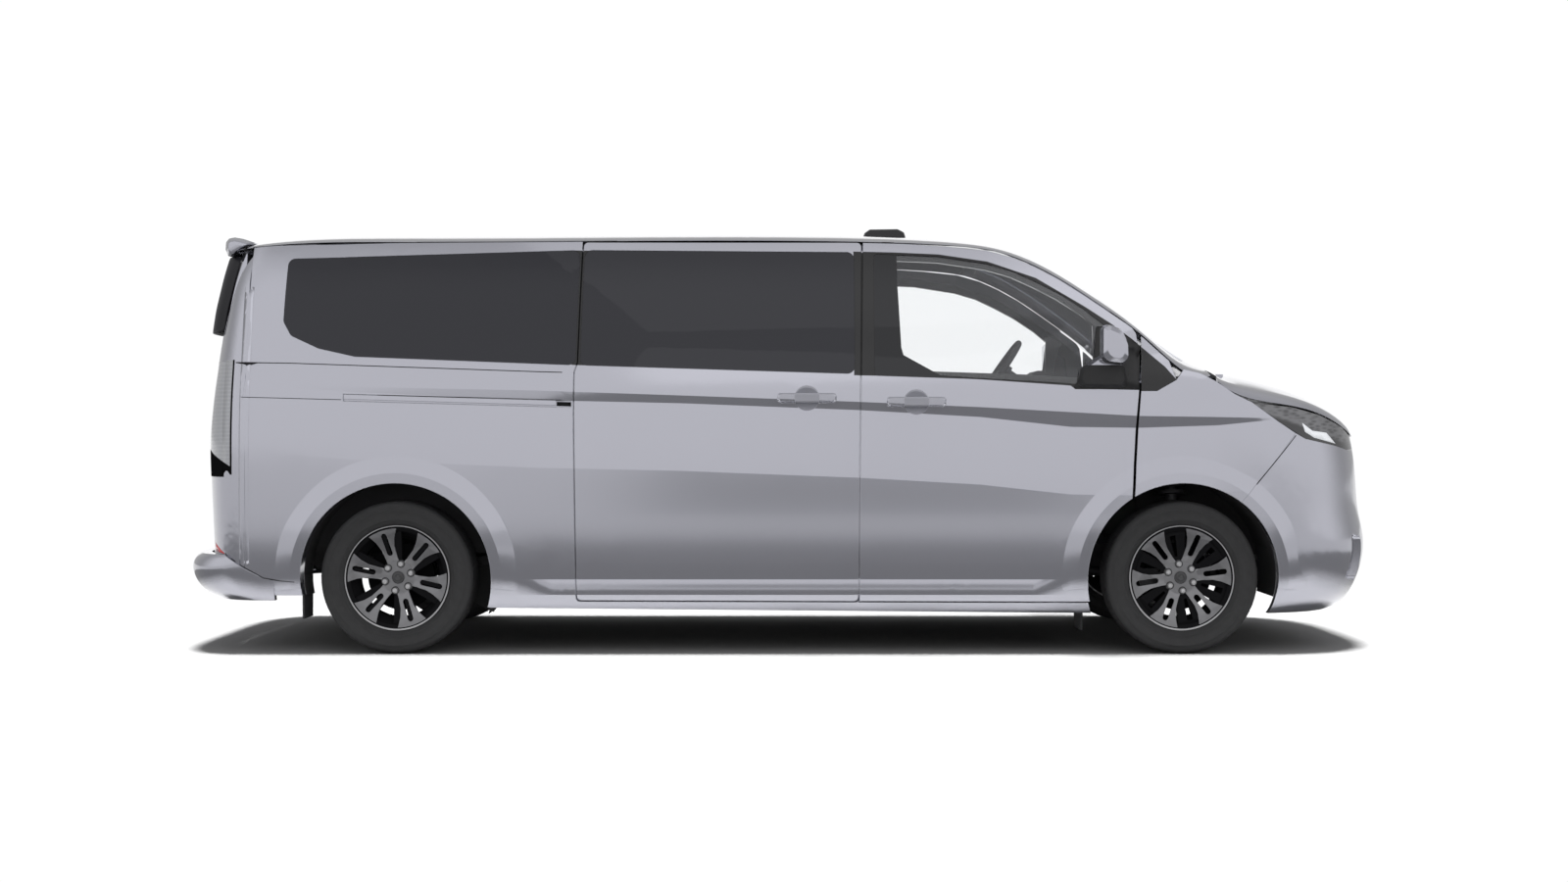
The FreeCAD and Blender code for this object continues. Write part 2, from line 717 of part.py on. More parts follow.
def nose_strip(outer_inset, inner_inset):
    """The upright skin round the nose, below the bonnet."""
    wires = []
    for z_share, w_share, front_share, rear_share in LEVEL_shares:
        if z_share > NOSE_TOP_share:
            continue
        runs = [
            end_run(w_share * HALF_WIDTH - inset, front_share * HALF_LENGTH - inset, FRONT_CORNER_LENGTH,
                    FRONT_CORNER_POWER, NOSE_START_X, 1, z_share * ROOF_HEIGHT)
            for inset in (outer_inset, inner_inset)
        ]
        wires.append(strip_wire(runs[0], runs[1]))
    return Part.makeLoft(wires, True, False)


def tail_strip(outer_inset, inner_inset):
    """The upright skin round the tail."""
    wires = []
    for z_share, w_share, front_share, rear_share in LEVEL_shares:
        runs = [
            end_run(w_share * HALF_WIDTH - inset, rear_share * HALF_LENGTH - inset, REAR_CORNER_LENGTH,
                    REAR_CORNER_POWER, -SIDE_START_X, -1, z_share * ROOF_HEIGHT)
            for inset in (outer_inset, inner_inset)
        ]
        wires.append(strip_wire(runs[0], runs[1]))
    return Part.makeLoft(wires, True, False)


def arch_points(x, half, rise, foot_z, round_share):
    """A rounded arch across the body, from its right foot to its left one."""
    steps = 12
    points = []
    for i in range(steps + 1):
        share = math.sin(math.pi / 2 * (2 * i / steps - 1))
        points.append(Vector(x, half * share, foot_z + rise * max(1 - share ** 2, 0.0) ** round_share))
    return points


def arched_panel(places, edge_height, top_height, round_share, outer, inner):
    """A roof-like skin through upright sections; outer and inner are its insets down and in from the edge."""
    wires = []
    for x in places:
        edge_z = edge_height(x)
        half = body_side_y(x, edge_z)
        rise = top_height(x) - edge_z
        runs = [arch_points(x, half - side, rise - down, edge_z, round_share) for down, side in (outer, inner)]
        wires.append(strip_wire(runs[0], runs[1]))
    return Part.makeLoft(wires, True, False)


def stations(start, end, shares):
    """The start, the table's own places in between and the end."""
    inside = [x * HALF_LENGTH for x, z in shares]
    return [start] + [x for x in inside if start + CUT_OVERRUN < x < end - CUT_OVERRUN] + [end]


def line_points(line, shares, start, end, drop):
    """Points along a side line between two places, lowered by drop."""
    inside = [x * HALF_LENGTH for x, z in shares if start < x * HALF_LENGTH < end]
    return [(x, line(x) - drop) for x in [start] + inside + [end]]


def rail_points(start, end, drop):
    return line_points(rail_line, RAIL_LINE_shares, start, end, drop)


def edge_points(start, end, drop):
    return line_points(bonnet_edge, BONNET_EDGE_shares, start, end, drop)


def tail_points(shares):
    """Rear outline points from shares of roof height."""
    return [(y * ROOF_HEIGHT, z * ROOF_HEIGHT) for y, z in shares]


def plan_points(shares):
    """Plan outline points from shares of half length and half width."""
    return [(x * HALF_LENGTH, y * HALF_WIDTH) for x, y in shares]


def back_prism(points, radius=0.0):
    """A rear outline pushed through the tail."""
    return prism(points, "X", -LENGTH, GATE_SHUT_X + CUT_OVERRUN, radius)


def nose_prism(points, radius=0.0):
    return prism(points, "X", FRONT_AXLE_X, LENGTH, radius)


def pillow(points, stations_y, shrinks, radius):
    """A rounded side outline carried across in steps, drawn in a little at each."""
    wires = []
    for y, shrink in zip(stations_y, shrinks):
        wire = rounded_wire(grown(points, -shrink) if shrink else points, radius, "Y")
        wire.translate(Vector(0, y, 0))
        wires.append(wire)
    return Part.makeLoft(wires, True, True)


# Side openings

def slider_outline(top_drop):
    top = rail_points(SLIDER_TOP_REAR_X, SLIDER_TOP_FRONT_X, top_drop)
    return side_points(SLIDER_REAR_shares[1:]) + side_points(SLIDER_FRONT_shares[:2]) + top[::-1]


def door_outline(top_drop):
    top = rail_points(DOOR_TOP_REAR_X, DOOR_TOP_FRONT_X, top_drop)
    return side_points(DOOR_REAR_shares[1:]) + side_points(DOOR_FRONT_shares)[::-1] + top[::-1]


def flare(axle_x):
    """The rounded lip round a right wheel arch."""
    wires = []
    steps = 18
    for i in range(steps + 1):
        swing = 2 * i / steps - 1
        angle = math.pi / 2 + math.radians(FLARE_SPREAD_DEG) * swing
        proud = FLARE_PROUD * (1 - FLARE_FADE_share * abs(swing) ** 3)
        points = []
        for radius, out in ((ARCH_RADIUS - FLARE_LAP, proud), (FLARE_LIP_RADIUS, proud), (FLARE_FOOT_RADIUS, -FLARE_LAP * 2),
                            (FLARE_FOOT_RADIUS, -FLARE_SINK), (ARCH_RADIUS - FLARE_LAP, -FLARE_SINK)):
            x = axle_x + radius * math.cos(angle)
            z = TYRE_RADIUS + radius * math.sin(angle)
            points.append(Vector(x, -body_side_y(x, z) - out, z))
        wires.append(Part.makePolygon(points + points[:1]))
    return Part.makeLoft(wires, True, False)


def hinge_rooms():
    """The two pockets in a right front door that its hinge straps swing in."""
    half = HINGE_POCKET_HEIGHT / 2
    outer = DOOR_HINGE_Y + HINGE_EYE_RADIUS + SEAT_GAP
    return [box(DOOR_HINGE_X - HINGE_POCKET_BACK, DOOR_HINGE_X + HINGE_POCKET_BACK * 2, -outer, -SIDE_REACH / 2, z - half, z + half)
            for z in DOOR_HINGE_HEIGHTS]


def hinge_straps():
    """The body's two hinge straps on the right, from the post to the pins."""
    straps = []
    half = HINGE_EYE_HEIGHT / 2
    thick = HINGE_STRAP_THICKNESS
    x, y = DOOR_HINGE_X, -DOOR_HINGE_Y
    root = y + HINGE_STRAP_REACH
    foot = POST_FRONT_X - thick * 2
    outline = [(x - thick / 2, y), (x + thick / 2, y), (x + thick / 2, root), (foot, root), (foot, root - thick * 2),
               (x - thick / 2, root - thick)]
    for z in DOOR_HINGE_HEIGHTS:
        leaf = prism(outline, "Z", z - half, z + half)
        eye = rod(Vector(x, y, z - half), Vector(x, y, z + half), HINGE_EYE_RADIUS)
        bore = rod(Vector(x, y, z - thick * 4), Vector(x, y, z + thick * 4), DOOR_PIN_RADIUS + PIN_CLEARANCE)
        straps.append(leaf.fuse(eye).cut(bore))
    return straps


def glazed(panel, skin, outline, radius):
    """A panel with a window opening and a seat for the flush glass."""
    panel = panel.cut(skin(-CUT_OVERRUN / 8, GLASS_INSET + GLASS_THICKNESS + SEAT_GAP).common(outline(0.0, radius)))
    return panel.cut(outline(-GLASS_LAP, radius))


def side_window(shares):
    def outline(amount, radius):
        points = side_points(shares)
        return right_prism(grown(points, amount) if amount else points, radius)
    return outline


def rear_window(amount, radius):
    points = tail_points(TAIL_GLASS_shares)
    return back_prism(grown(points, amount) if amount else points, radius)


def pane(skin, outline, radius):
    return skin(GLASS_INSET, GLASS_INSET + GLASS_THICKNESS).common(outline(-SEAT_GAP, radius))


# Body sides

def bumper_side_outline():
    """What the rear bumper covers, seen from the side."""
    return side_points(BUMPER_SIDE_shares) + [(-LENGTH, 0.0), (-LENGTH, BUMPER_SIDE_shares[0][1] * ROOF_HEIGHT)]


def bumper_form(outer_inset, inner_inset):
    """The wrap-round skin of the rear bumper."""
    wires = []
    for z_share, w_share, rear_share in BUMPER_LEVEL_shares:
        runs = [
            end_run(w_share * HALF_WIDTH - inset, rear_share * HALF_LENGTH - inset, BUMPER_CORNER_LENGTH,
                    BUMPER_CORNER_POWER, BUMPER_START_X, -1, z_share * ROOF_HEIGHT)
            for inset in (outer_inset, inner_inset)
        ]
        wires.append(strip_wire(runs[0], runs[1]))
    return Part.makeLoft(wires, True, False)


def rear_frame(tail):
    """The right rear corner and half of the frame round the tailgate."""
    top = rail_points(-HALF_LENGTH * 0.96, GATE_SHUT_X + GATE_SHUT_GAP, SHUT_GAP)
    high = rail_points(GATE_SHUT_X + GATE_SHUT_GAP, SIDE_START_X, SEAT_GAP)
    high = high[:-1] + [(SIDE_START_X - SEAT_GAP, high[-1][1])]
    outline = [(-LENGTH, QUARTER_BOTTOM_Z), (-LENGTH, top[0][1])] + top + high + [(high[-1][0], QUARTER_BOTTOM_Z)]
    frame = tail.common(right_prism(outline))
    gate = tail_points(TAIL_shares)
    skin = tail_strip(-CUT_OVERRUN / 8, DOOR_THICKNESS + DOOR_SEAL_GAP)
    recess = [(y, z if z < ROOF_HEIGHT * 0.9 else z * 2) for y, z in grown(gate, SHUT_GAP)]
    frame = frame.cut(skin.common(back_prism(recess)))
    opening = [(y, z if z < ROOF_HEIGHT / 2 else z * 2) for y, z in grown(gate, -JAMB_WIDTH)]
    return frame.cut(back_prism(opening))


def lamp_form(skin, grow):
    """The right tail lamp's place on the corner beside the tailgate."""
    region = box(-LENGTH, LAMP_FRONT_X + grow, -SIDE_REACH, -HALF_WIDTH / 2, LAMP_BOTTOM_Z - grow, LAMP_TOP_Z + grow)
    return skin.common(region)


def side_wall(side, tail, lip):
    """The right side of the body: sill, posts, roof rail, rear quarter and corner, with its doorways."""
    top = rail_points(SIDE_START_X, POST_FRONT_X, ROOF_SEAM)
    outline = [(SIDE_START_X, QUARTER_BOTTOM_Z)] + top + [
        (POST_FRONT_X, SILL_FRONT_Z), (REAR_AXLE_X + ARCH_RADIUS, SILL_REAR_Z), (REAR_AXLE_X - ARCH_RADIUS, QUARTER_BOTTOM_Z)]
    wall = side.common(right_prism(outline))
    wall = wall.cut(side_strip(-CUT_OVERRUN / 8, DOOR_THICKNESS + SEAT_GAP).common(
        right_prism(grown(slider_outline(-CUT_OVERRUN / 2), SHUT_GAP), DOOR_ROUND)))
    wall = wall.cut(prism(side_points(RAIL_SLOT_shares), "Y", -SIDE_REACH, -RAIL_SLOT_Y))
    wall = wall.cut(right_prism(grown(slider_outline(SHUT_GAP), -JAMB_WIDTH), JAMB_WIDTH))
    wall = wall.cut(side_strip(-CUT_OVERRUN / 8, DOOR_THICKNESS + DOOR_SEAL_GAP).common(
        right_prism(grown(door_outline(-CUT_OVERRUN / 2), SHUT_GAP))))
    top = rail_points(DOOR_TOP_REAR_X + JAMB_WIDTH, POST_REAR_X, SHUT_GAP + JAMB_WIDTH)
    low = SILL_REAR_Z + JAMB_WIDTH * 2
    wall = wall.cut(right_prism([(DOOR_TOP_REAR_X + JAMB_WIDTH, low)] + top + [(POST_REAR_X, low)], JAMB_WIDTH / 2))
    wall = wall.cut(rod(Vector(DOOR_HINGE_X, -DOOR_HINGE_Y, DOOR_SWING_ROOM_Z), Vector(DOOR_HINGE_X, -DOOR_HINGE_Y, ROOF_HEIGHT),
                        DOOR_SWING_ROOM))
    wall = glazed(wall, side_strip, side_window(QUARTER_GLASS_shares), WINDOW_ROUND)
    above_sill = right_prism([(REAR_AXLE_X - SIDE_REACH / 2, QUARTER_BOTTOM_Z), (REAR_AXLE_X - SIDE_REACH / 2, ROOF_HEIGHT / 2),
                              (SLIDER_TOP_REAR_X - JAMB_WIDTH, ROOF_HEIGHT / 2), (SLIDER_TOP_REAR_X - JAMB_WIDTH, SILL_REAR_Z)])
    wall = wall.fuse(lip.common(above_sill))
    wall = wall.cut(arch_cutter(REAR_AXLE_X)).cut(arch_cutter(FRONT_AXLE_X, ARCH_RADIUS + LINER_GAP))
    corner = rear_frame(tail).cut(lamp_form(tail_strip(-CUT_OVERRUN / 8, TAIL_LAMP_THICKNESS + SEAT_GAP), SEAT_GAP))
    wall = joined([wall, corner])
    covered = bumper_form(-CUT_OVERRUN, BUMPER_THICKNESS + SEAT_GAP)
    wall = wall.cut(covered.common(full_prism(grown(bumper_side_outline(), SEAT_GAP))))
    return joined([wall] + hinge_straps())


def rail_cover():
    """The body-coloured cover beside the sliding door's rail slot."""
    return side_strip(GLASS_INSET, RAIL_SLOT_DEPTH * 2).common(prism(side_points(RAIL_COVER_shares), "Y", -SIDE_REACH, -RAIL_SLOT_Y - SEAT_GAP))


def handled(door, x, z):
    """A door with a grab handle over a dish."""
    y = -body_side_y(x, z)
    dish = Part.makeSphere(HANDLE_DISH_RADIUS, Vector(x, y - HANDLE_DISH_RADIUS + HANDLE_DISH_DEPTH, z))
    dish = dish.common(drum(x, y - SIDE_REACH / 8, y + SIDE_REACH / 8, z, HANDLE_DISH_WIDTH))
    half = HANDLE_LENGTH / 2
    tall = HANDLE_HEIGHT / 2
    outline = [(x - half, z - tall), (x - half, z + tall), (x + half, z + tall), (x + half, z - tall)]
    places = (y - HANDLE_PROUD, y - HANDLE_PROUD * 0.8, y + HANDLE_SINK)
    bar = pillow(outline, places, (HANDLE_HEIGHT / 7, 0.0, 0.0), tall * 0.7)
    reach = HANDLE_DISH_WIDTH * HANDLE_FINGER_share
    finger = box(x - reach, x + reach, y - HANDLE_PROUD * 0.4, y + HANDLE_SINK * 2, z - tall * 2, z + tall * 2)
    return joined([door.cut(dish), bar.cut(finger)])


def sliding_door(side):
    door = side.common(right_prism(slider_outline(SHUT_GAP), DOOR_ROUND))
    door = glazed(door, side_strip, side_window(SLIDER_GLASS_shares), WINDOW_ROUND)
    return handled(door, SLIDER_HANDLE_X, SLIDER_HANDLE_Z)


def front_door(side, lip):
    """The right front door with its hinge pockets and pins and its part of the arch lip."""
    outline = right_prism(door_outline(SHUT_GAP))
    door = side.common(outline).fuse(lip.common(outline))
    door = door.cut(arch_cutter(FRONT_AXLE_X))
    door = glazed(door, side_strip, side_window(DOOR_GLASS_shares), WINDOW_ROUND / 2)
    for room in hinge_rooms():
        door = door.cut(room)
    door = handled(door, DOOR_HANDLE_X, DOOR_HANDLE_Z)
    reach = HINGE_POCKET_HEIGHT / 2 + DOOR_PIN_REACH
    pins = [rod(Vector(DOOR_HINGE_X, -DOOR_HINGE_Y, z - reach), Vector(DOOR_HINGE_X, -DOOR_HINGE_Y, z + reach), DOOR_PIN_RADIUS)
            for z in DOOR_HINGE_HEIGHTS]
    return joined([door] + pins)


def door_mirror(door):
    """The right door mirror, its arm fitted to the door's face."""
    head = pillow(side_points(MIRROR_HEAD_shares),
                  (-MIRROR_OUTER_Y, -MIRROR_OUTER_Y + MIRROR_ROUND / 2, -MIRROR_OUTER_Y + MIRROR_ROUND * 2, -MIRROR_INNER_Y),
                  (MIRROR_ROUND, MIRROR_ROUND / 3, 0.0, MIRROR_ROUND / 4), MIRROR_CORNER)
    arm = pillow(side_points(MIRROR_ARM_shares), (-MIRROR_INNER_Y - MIRROR_ROUND, -MIRROR_INNER_Y, -MIRROR_FOOT_Y),
                 (MIRROR_ROUND / 2, 0.0, 0.0), MIRROR_ROUND)
    trimmer = side_strip(0.0, WALL_THICKNESS * 2).common(right_prism(door_outline(SHUT_GAP)))
    return joined([head, arm]).cut(trimmer).cut(door)


# Nose

def wing(side, lip):
    """The right front wing."""
    back = [(x + HINGE_SHUT_GAP, z) for x, z in side_points(DOOR_FRONT_shares[3:5])][::-1]
    top = side_points(WING_TOP_shares) + edge_points(BONNET_BACK_X - SHUT_GAP, LAMP_TAIL_X, SHUT_GAP)
    lamp_side = [(x - SEAT_GAP, z - SEAT_GAP) for x, z in side_points((LAMP_shares[0], LAMP_shares[10]))]
    front = [(x - SEAT_GAP, z - SEAT_GAP) for x, z in side_points(WING_FRONT_shares)]
    outline = right_prism(back + top + lamp_side + front + [(FRONT_AXLE_X - SEAT_GAP, TYRE_RADIUS)])
    edge_room = rod(Vector(DOOR_HINGE_X, -DOOR_HINGE_Y, 0.0), Vector(DOOR_HINGE_X, -DOOR_HINGE_Y, DOOR_SWING_ROOM_Z),
                    DOOR_EDGE_ROOM)
    return side.common(outline).fuse(lip.common(outline)).cut(arch_cutter(FRONT_AXLE_X)).cut(edge_room)


def pillar_panel(side):
    """The right black panel between the front door and the bonnet."""
    top = rail_points(PILLAR_TOP_REAR_X, PILLAR_TOP_FRONT_X, PILLAR_SEAM)
    return side.common(right_prism(side_points(PILLAR_REAR_shares) + top + side_points(PILLAR_FRONT_shares)))


def bumper_outline():
    low = [(FRONT_AXLE_X, NOSE_BOTTOM_Z), (LENGTH, NOSE_BOTTOM_Z), (LENGTH, LAMP_shares[7][1] * ROOF_HEIGHT - SEAT_GAP)]
    lamp = [(x, z - SEAT_GAP) for x, z in side_points((LAMP_shares[7], LAMP_shares[8], LAMP_shares[9]))]
    return low + lamp + side_points(WING_FRONT_shares) + [(FRONT_AXLE_X, TYRE_RADIUS)]


def front_bumper(nose, lip):
    """The front bumper with its grille, intake and corner openings."""
    outline = bumper_outline()
    part = lip.common(right_prism(outline))
    shape = nose.common(full_prism(outline)).fuse([part, mirrored(part)])
    for cutter in pair(arch_cutter(FRONT_AXLE_X)):
        shape = shape.cut(cutter)
    shape = shape.cut(nose_prism(tail_points(GRILLE_shares), GRILLE_ROUND))
    shape = shape.cut(nose_prism(tail_points(INTAKE_shares), GRILLE_ROUND))
    for vent in pair(nose_prism(tail_points(VENT_shares), GRILLE_ROUND)):
        shape = shape.cut(vent.common(nose_strip(-CUT_OVERRUN / 8, VENT_DEPTH)))
    return shape


def headlamp(hood):
    """The right headlamp in the corner of the nose, under the bonnet's edge."""
    lamp = nose_strip(0.0, LAMP_THICKNESS).common(prism(side_points(LAMP_shares), "Y", -SIDE_REACH, -LAMP_INNER_Y))
    above = edge_points(LAMP_TAIL_X - CUT_OVERRUN, BONNET_FRONT_X, SHUT_GAP)
    if above[0][0] > above[-1][0]:
        above = above[::-1]
    above = above + [(LENGTH, above[-1][1]), (LENGTH, TALL_REACH), (above[0][0], TALL_REACH)]
    lowered = hood.copy()
    lowered.translate(Vector(0, 0, -SHUT_GAP))
    return lamp.cut(right_prism(above)).cut(lowered)


def barred(shares, bars):
    """A grille: an outline cut into level bars inside its own rim."""
    outline = grown(tail_points(shares), -SEAT_GAP)
    grid = nose_strip(GRILLE_INSET, GRILLE_INSET + GRILLE_DEPTH).common(nose_prism(outline, GRILLE_ROUND))
    inner = grown(outline, -GRILLE_RIM)
    low = min(z for y, z in inner)
    pitch = (max(z for y, z in inner) - low) / bars
    half = min(abs(y) for y, z in inner)
    for i in range(bars):
        z = low + pitch * i
        grid = grid.cut(box(FRONT_AXLE_X, LENGTH, -half, half, z + pitch * 0.2, z + pitch * 0.8))
    return grid


def bonnet():
    """The bonnet with its front lip and two hinges."""
    places = stations(BONNET_BACK_X, BONNET_FRONT_X, BONNET_LINE_shares)
    panel = arched_panel(places, bonnet_edge, bonnet_line, BONNET_ROUND_share, (0.0, 0.0), (BONNET_THICKNESS, BONNET_FLANGE))
    edge_z = bonnet_edge(BONNET_FRONT_X)
    run = arch_points(BONNET_FRONT_X, body_side_y(BONNET_FRONT_X, edge_z), bonnet_line(BONNET_FRONT_X) - edge_z, edge_z,
                      BONNET_ROUND_share)
    lip = Part.Face(Part.Wire([spline_edge(run), straight_edge(run[-1], run[0])])).extrude(Vector(-BONNET_LIP, 0, 0))
    outline = plan_points(BONNET_REAR_shares) + [(LENGTH, SIDE_REACH), (LENGTH, -SIDE_REACH)]
    panel = panel.common(prism(outline, "Z", 0.0, TALL_REACH))
    parts = [panel, lip]
    inner = BONNET_EYE_WIDTH / 2 + SHUT_GAP
    outer = inner + BONNET_CHEEK_THICKNESS
    for hand in (-1, 1):
        y = hand * BONNET_HINGE_Y
        parts.append(drum(BONNET_HINGE_X, y - outer, y + outer, BONNET_HINGE_Z, BONNET_PIN_RADIUS))
        for side in (-1, 1):
            start, end = sorted((y + side * inner, y + side * outer))
            parts.append(prism(list(BONNET_CHEEK_outline), "Y", start, end))
    return joined(parts)


# Tail

def tailgate(whole_roof):
    """The tailgate with its roof edge, window opening and two curved hinge arms."""
    gate = tail_strip(0.0, DOOR_THICKNESS).common(back_prism(tail_points(TAIL_shares)))
    gate = gate.common(box(-LENGTH, GATE_CORNER_X, -SIDE_REACH, SIDE_REACH, 0.0, TALL_REACH))
    gate = glazed(gate, tail_strip, rear_window, WINDOW_ROUND)
    edge = whole_roof.common(box(-LENGTH, GATE_SHUT_X, -SIDE_REACH, SIDE_REACH, ROOF_HEIGHT / 2, TALL_REACH))
    edge = edge.cut(drum(GATE_HINGE_X, -SIDE_REACH, SIDE_REACH, GATE_HINGE_Z, GATE_SWEEP_RADIUS))
    parts = [gate, edge, box(*GATE_HEADER_X, -GATE_HEADER_HALF_WIDTH, GATE_HEADER_HALF_WIDTH, *GATE_HEADER_Z)]
    half = GATE_ARM_THICKNESS / 2
    x, z = GATE_HINGE_X, GATE_HINGE_Z
    arm = [(x - half, z + half), (x - half, z - GATE_ARM_DROP + GATE_ARM_THICKNESS), (x - GATE_ARM_REACH, z - GATE_ARM_DROP + GATE_ARM_THICKNESS),
           (x - GATE_ARM_REACH, z - GATE_ARM_DROP), (x + half, z - GATE_ARM_DROP), (x + half, z + half)]
    reach = GATE_ARM_WIDTH / 2 + SHUT_GAP + GATE_EYE_WIDTH
    for hand in (-1, 1):
        y = hand * GATE_HINGE_Y
        parts.append(prism(arm, "Y", y - GATE_ARM_WIDTH / 2, y + GATE_ARM_WIDTH / 2))
        parts.append(drum(x, y - reach, y + reach, z, GATE_PIN_RADIUS))
    return joined(parts)


def roof_panel(whole_roof):
    """The roof with the tailgate's four hinge eyes under its rear edge."""
    parts = [whole_roof.common(box(GATE_SHUT_X + GATE_SHUT_GAP, FRONT_AXLE_X, -SIDE_REACH, SIDE_REACH, ROOF_HEIGHT / 2, TALL_REACH))]
    inner = GATE_ARM_WIDTH / 2 + SHUT_GAP
    x, z = GATE_HINGE_X, GATE_HINGE_Z
    for hand in (-1, 1):
        for side in (-1, 1):
            start, end = sorted((hand * GATE_HINGE_Y + side * inner, hand * GATE_HINGE_Y + side * (inner + GATE_EYE_WIDTH)))
            eye = drum(x, start, end, z, GATE_EYE_RADIUS).fuse(
                box(x - GATE_EYE_RADIUS, x + GATE_EYE_RADIUS, start, end, z, z + ROOF_THICKNESS * 0.8))
            parts.append(eye.cut(drum(x, start - SHUT_GAP, end + SHUT_GAP, z, GATE_PIN_RADIUS + PIN_CLEARANCE)))
    return joined(parts)


# Front structure

def bonnet_brackets():
    brackets = []
    x, z = BONNET_HINGE_X, BONNET_HINGE_Z
    for hand in (-1, 1):
        start = hand * BONNET_HINGE_Y - BONNET_EYE_WIDTH / 2
        end = start + BONNET_EYE_WIDTH
        body = drum(x, start, end, z, BONNET_EYE_RADIUS).fuse(
            box(x - BONNET_EYE_RADIUS, x + BONNET_EYE_RADIUS, start, end, BULKHEAD_outline[5][1] - SHUT_GAP, z))
        brackets.append(body.cut(drum(x, start - SHUT_GAP, end + SHUT_GAP, z, BONNET_PIN_RADIUS + PIN_CLEARANCE)))
    return brackets


def kingpin(hand, z):
    """A point of the inclined steering axis at height z."""
    share = (z - KINGPIN_LOW_Z) / (KINGPIN_TOP_Z - KINGPIN_LOW_Z)
    return Vector(FRONT_AXLE_X, hand * (KINGPIN_LOW_Y + (KINGPIN_TOP_Y - KINGPIN_LOW_Y) * share), z)


def front_structure():
    """Windscreen pillars, cowl, bulkhead, wheelhouses, strut towers and front frame rails."""
    pillars = arched_panel(stations(PILLAR_START_X, PILLAR_END_X, ROOF_LINE_shares), rail_line, roof_line, ROOF_ROUND_share,
                           (0.0, 0.0), (PILLAR_THICKNESS, PILLAR_FLANGE))
    screen = plan_points(SCREEN_shares)
    depth = GLASS_INSET + GLASS_THICKNESS + SEAT_GAP
    seat = arched_panel(stations(PILLAR_START_X, PILLAR_END_X, ROOF_LINE_shares), rail_line, roof_line, ROOF_ROUND_share,
                        (-CUT_OVERRUN, -CUT_OVERRUN), (depth, depth))
    pillars = pillars.cut(seat.common(prism(screen, "Z", 0.0, TALL_REACH, WINDOW_ROUND)))
    pillars = pillars.cut(prism(grown(screen, -GLASS_LAP), "Z", 0.0, TALL_REACH, WINDOW_ROUND))
    half = GUSSET_THICKNESS / 2
    parts = [
        prism(list(BULKHEAD_outline), "Y", -BULKHEAD_HIGH_Y, BULKHEAD_HIGH_Y),
        box(BULKHEAD_X, BULKHEAD_X + BULKHEAD_THICKNESS, -BULKHEAD_LOW_Y, BULKHEAD_LOW_Y, BEAM_LOW_Z, BULKHEAD_STEP_Z + CUT_OVERRUN),
    ]
    sides = [
        prism(list(WHEELHOUSE_outline), "Y", -WHEELHOUSE_Y - WHEELHOUSE_THICKNESS, -WHEELHOUSE_Y),
        prism([(x, -y) for x, y in TOWER_outline], "Z", TOWER_Z, TOWER_Z + TOWER_THICKNESS),
        side_strip(WING_THICKNESS + SEAT_GAP, WING_THICKNESS + UPPER_RAIL_THICKNESS).common(right_prism(list(UPPER_RAIL_outline))),
        prism(list(GUSSET_outline), "Y", -GUSSET_Y - GUSSET_THICKNESS, -GUSSET_Y),
        box(SCREEN_FOOT_X, PILLAR_END_X, -SCREEN_FOOT_Y - SCREEN_FOOT_WIDTH, -SCREEN_FOOT_Y, SCREEN_FOOT_BOTTOM_Z, SCREEN_FOOT_TOP_Z),
        box(BULKHEAD_X, FRAME_RAIL_TIP_X, -FRAME_RAIL_Y - FRAME_RAIL_WIDTH / 2, -FRAME_RAIL_Y + FRAME_RAIL_WIDTH / 2,
            FRAME_RAIL_Z, FRAME_RAIL_Z + FRAME_RAIL_HEIGHT),
        box(FRONT_AXLE_X + half, FRONT_AXLE_X + GUSSET_THICKNESS + half, -GUSSET_Y - GUSSET_THICKNESS, -WHEELHOUSE_Y, TOWER_Z,
            TOWER_Z + TOWER_THICKNESS * 4),
    ]
    for part in sides:
        parts += pair(part)
    beam = nose_strip(BUMPER_THICKNESS + SEAT_GAP, BUMPER_THICKNESS + BEAM_DEPTH).common(
        box(FRONT_AXLE_X, LENGTH, -BEAM_HALF_WIDTH, BEAM_HALF_WIDTH, BEAM_LOW_Z, BEAM_HIGH_Z))
    whole = joined([pillars] + parts + [beam] + bonnet_brackets())
    for hand in (-1, 1):
        whole = whole.cut(rod(kingpin(hand, TOWER_Z - TOWER_THICKNESS), kingpin(hand, TOWER_Z + TOWER_THICKNESS * 2),
                              BALL_PIN_RADIUS + PIN_CLEARANCE))
        whole = whole.cut(rod(kingpin(hand, TOWER_Z + TOWER_THICKNESS), kingpin(hand, TOWER_Z + TOWER_THICKNESS * 8),
                              BALL_PIN_RADIUS * 3))
    return whole


def windscreen():
    inner = GLASS_INSET + GLASS_THICKNESS
    skin = arched_panel(stations(PILLAR_START_X, PILLAR_END_X, ROOF_LINE_shares), rail_line, roof_line, ROOF_ROUND_share,
                        (GLASS_INSET, GLASS_INSET), (inner, inner))
    return skin.common(prism(grown(plan_points(SCREEN_shares), -SEAT_GAP), "Z", 0.0, TALL_REACH, WINDOW_ROUND))


# Wheels

